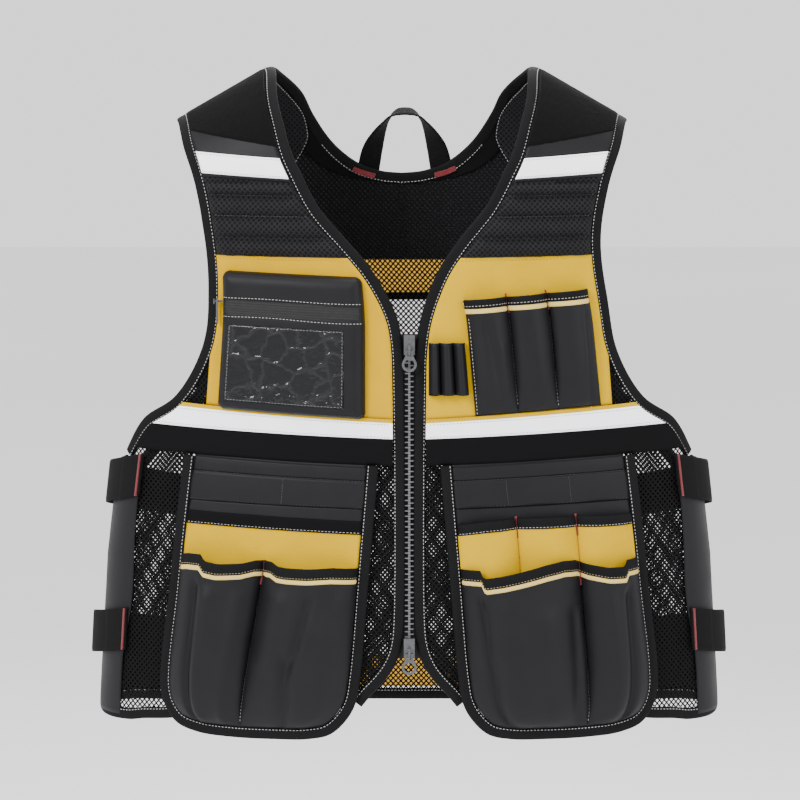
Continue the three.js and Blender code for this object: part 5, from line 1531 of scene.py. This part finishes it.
for name, side in SIDES:
    patch(f"back_lining_{name}", "lining", lining_place, 2.3, 1.4, (20, 44), side, slot="band")
    patch(f"back_yoke_{name}", "band", lining_place, 2.9, 2.35, (20, 44), side, slot="band")
for name, side in SIDES:
    patch(f"shoulder_tab_{name}", "pad", tab_place, -0.9, lambda S, T: -0.9 - 1.8 * np.minimum(1, S / 0.05),
          (20, 50), side, slot="mesh_net")
    stitch("white", with_offset(tab_edge + [TAB_STITCH_IN, 0], -2.8), side=side, radius=0.34)
    patch(f"neck_facing_{name}", "band", facing_place, -0.5, -1.3, (6, 80), side, slot="band")
for pixels in NECK_TACKS_SEEN:
    bar_tack("red", with_offset(smooth_path(seen(pixels, -2.0, True), 30), -3.1), 5.5)


# Second, finer nets behind the front: beside its edges, outside the tool panels and beside the armholes
def between_edge_and_tool(u, w):
    low = run_at(edge_inner, w)
    high = run_at(tool_left, np.clip(w, tool_base[0, 1], None)) + 4
    return front_shape(u, w) & (u < np.maximum(high, low + 14)) & (w < -HEIGHT * 0.585 + DROP)


def beside_tool(u, w):
    high = run_at(tool_right, np.clip(w, tool_base[-1, 1], None)) - 4
    return front_shape(u, w) & (u > high) & (w < -HEIGHT * 0.662 + DROP) & (w > -HEIGHT * 0.93 + DROP)


def by_armhole(u, w):
    return front_shape(u, w) & (u > 150) & (w < -HEIGHT * 0.3 + DROP) & (w > -HEIGHT * 0.53 + DROP)


for kind, inside, runs, rises, eye in (
    ("inner", between_edge_and_tool, (0, 120), (-535, -260), 0.4),
    ("side", beside_tool, (180, 320), (-535, -300), 0.5),
    ("chest", by_armhole, (150, 320), (-300, -60), 0.35),
):
    for name, side in SIDES:
        net(f"net_{kind}_{name}", inside, runs, rises, side, 3.9, 4.6, -1.6, eye, slot="mesh_net")

# Zip teeth in two staggered rows
chain_low, chain_high = (v * 1000 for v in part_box("zip_chain"))
PITCH = 5.1
TOOTH = np.array([
    (4.3, -0.55), (4.3, 0.55), (1.6, 0.6), (0.9, 1.35), (-0.75, 1.25), (-1.15, 0.7), (-1.15, -0.7),
    (-0.75, -1.25), (0.9, -1.35), (1.6, -0.6),
])
TOOTH_SECTIONS = ((-1.5, 0.9), (-1.2, 1.0), (1.0, 1.0), (1.5, 0.8))
points, quads, caps = [], [], []
k = np.arange(len(TOOTH))
n = (k + 1) % len(TOOTH)
for hand in (-1, 1):
    for i in range(int((chain_high.z - chain_low.z) / PITCH)):
        z = chain_low.z + PITCH * (i + (0.75 if hand > 0 else 0.25))
        front = cloth(0.0, z + DROP, 0.0)
        base = 10 * len(points)
        for depth, size in TOOTH_SECTIONS:
            across = hand * TOOTH[:, 0] * (0.9 if size < 1 else 1) + front[0]
            level_y = np.full(10, front[1] - depth - 0.2)
            points.append(np.column_stack([across, level_y, z + TOOTH[:, 1] * size]))
        for r in range(3):
            low, high = base + r * 10, base + (r + 1) * 10
            quad = np.stack([low + k, low + n, high + n, high + k], -1)
            quads.append(quad if hand > 0 else quad[:, ::-1])
        ends = np.stack([base + k[::-1], base + 30 + k])
        caps.append(ends if hand > 0 else ends[:, ::-1])
add_object("zip_teeth_rows", np.vstack(points), [np.vstack(quads), np.vstack(caps)], "teeth",
           slot="zip_teeth", stands_for=("zip_chain",), smooth_shade=False)

# Threads gathered so far become one piece a colour
for kind, parts in thread_work.items():
    points, quads, caps, base = [], [], [], 0
    for thread_points, (thread_quads, thread_caps) in parts:
        points.append(thread_points)
        quads.append(thread_quads + base)
        caps.append(thread_caps + base)
        base += len(thread_points)
    add_object(f"stitches_{kind}", np.vstack(points), [np.vstack(quads), np.vstack(caps)], kind)


# Finish of the hard parts that stay from the model
def dress(node, mat):
    obj = frame["nodes"][node]
    for part in [obj, *obj.children_recursive]:
        for slot in part.material_slots:
            slot.link = "OBJECT"
            slot.material = MATS[mat]


for node in ("top_slider", "top_pull", "bottom_slider", "bottom_pull", "chest_zip_slider", "chest_zip_pull"):
    dress(node, "metal")
dress("zip_tape", "zip_tape")

# Camera, floor and light
camera = bpy.data.objects.new("camera", bpy.data.cameras.new("camera"))
bpy.context.scene.collection.objects.link(camera)
SENSOR, PICTURE = 36.0, 800
camera.data.sensor_width = SENSOR
camera.data.lens = SENSOR * DISTANCE / (PICTURE * SCALE)
camera.location = Vector((TARGET_X, -DISTANCE * CE, TARGET_Z + DISTANCE * SE)) * MM
camera.rotation_euler = (math.pi / 2 - ELEVATION, 0, 0)
camera.data.clip_end = 50
bpy.context.scene.camera = camera

floor_mat = Nodes("floor")
floor_pos = floor_mat.add("ShaderNodeNewGeometry").outputs["Position"]
floor_cloud = floor_mat.noise(floor_pos, 0.6, 2)
floor_shade = floor_mat.ramp(floor_cloud, [(0.3, (0.86, 0.86, 0.865, 1)), (0.7, (0.9, 0.9, 0.9, 1))])
floor_mat.set(Roughness=0.9)
floor_mat.finish(floor_shade)
floor_mesh = bpy.data.meshes.new("floor")
FLOOR_Z, FLOOR_HALF = -1.3, 12
floor_corners = [(x * FLOOR_HALF, y * FLOOR_HALF, FLOOR_Z) for x, y in ((-1, -1), (1, -1), (1, 1), (-1, 1))]
floor_mesh.from_pydata(floor_corners, [], [(0, 1, 2, 3)])
floor_mesh.materials.append(floor_mat.mat)
floor = bpy.data.objects.new("floor", floor_mesh)
bpy.context.scene.collection.objects.link(floor)

world = bpy.data.worlds.new("studio")
world.use_nodes = True
world.node_tree.nodes["Background"].inputs[0].default_value = (1.0, 1.0, 1.0, 1)
world.node_tree.nodes["Background"].inputs[1].default_value = 1.45
bpy.context.scene.world = world


def area_light(name, place, target, size, power):
    data = bpy.data.lights.new(name, "AREA")
    data.shape = "RECTANGLE"
    data.size, data.size_y = size
    data.energy = power
    lamp = bpy.data.objects.new(name, data)
    lamp.location = place
    lamp.rotation_euler = (Vector(target) - Vector(place)).to_track_quat("-Z", "Y").to_euler()
    bpy.context.scene.collection.objects.link(lamp)


area_light("key", (-1.9, -2.4, 1.5), (0, 0, -0.3), (1.0, 1.4), 100)
area_light("fill", (2.4, -2.0, 0.5), (0, 0, -0.35), (1.0, 1.6), 30)
area_light("top", (0, 0.2, 2.2), (0, 0, -0.3), (2.2, 1.6), 45)
area_light("back", (0.4, 2.6, 1.0), (0, 0, -0.3), (1.8, 1.8), 40)
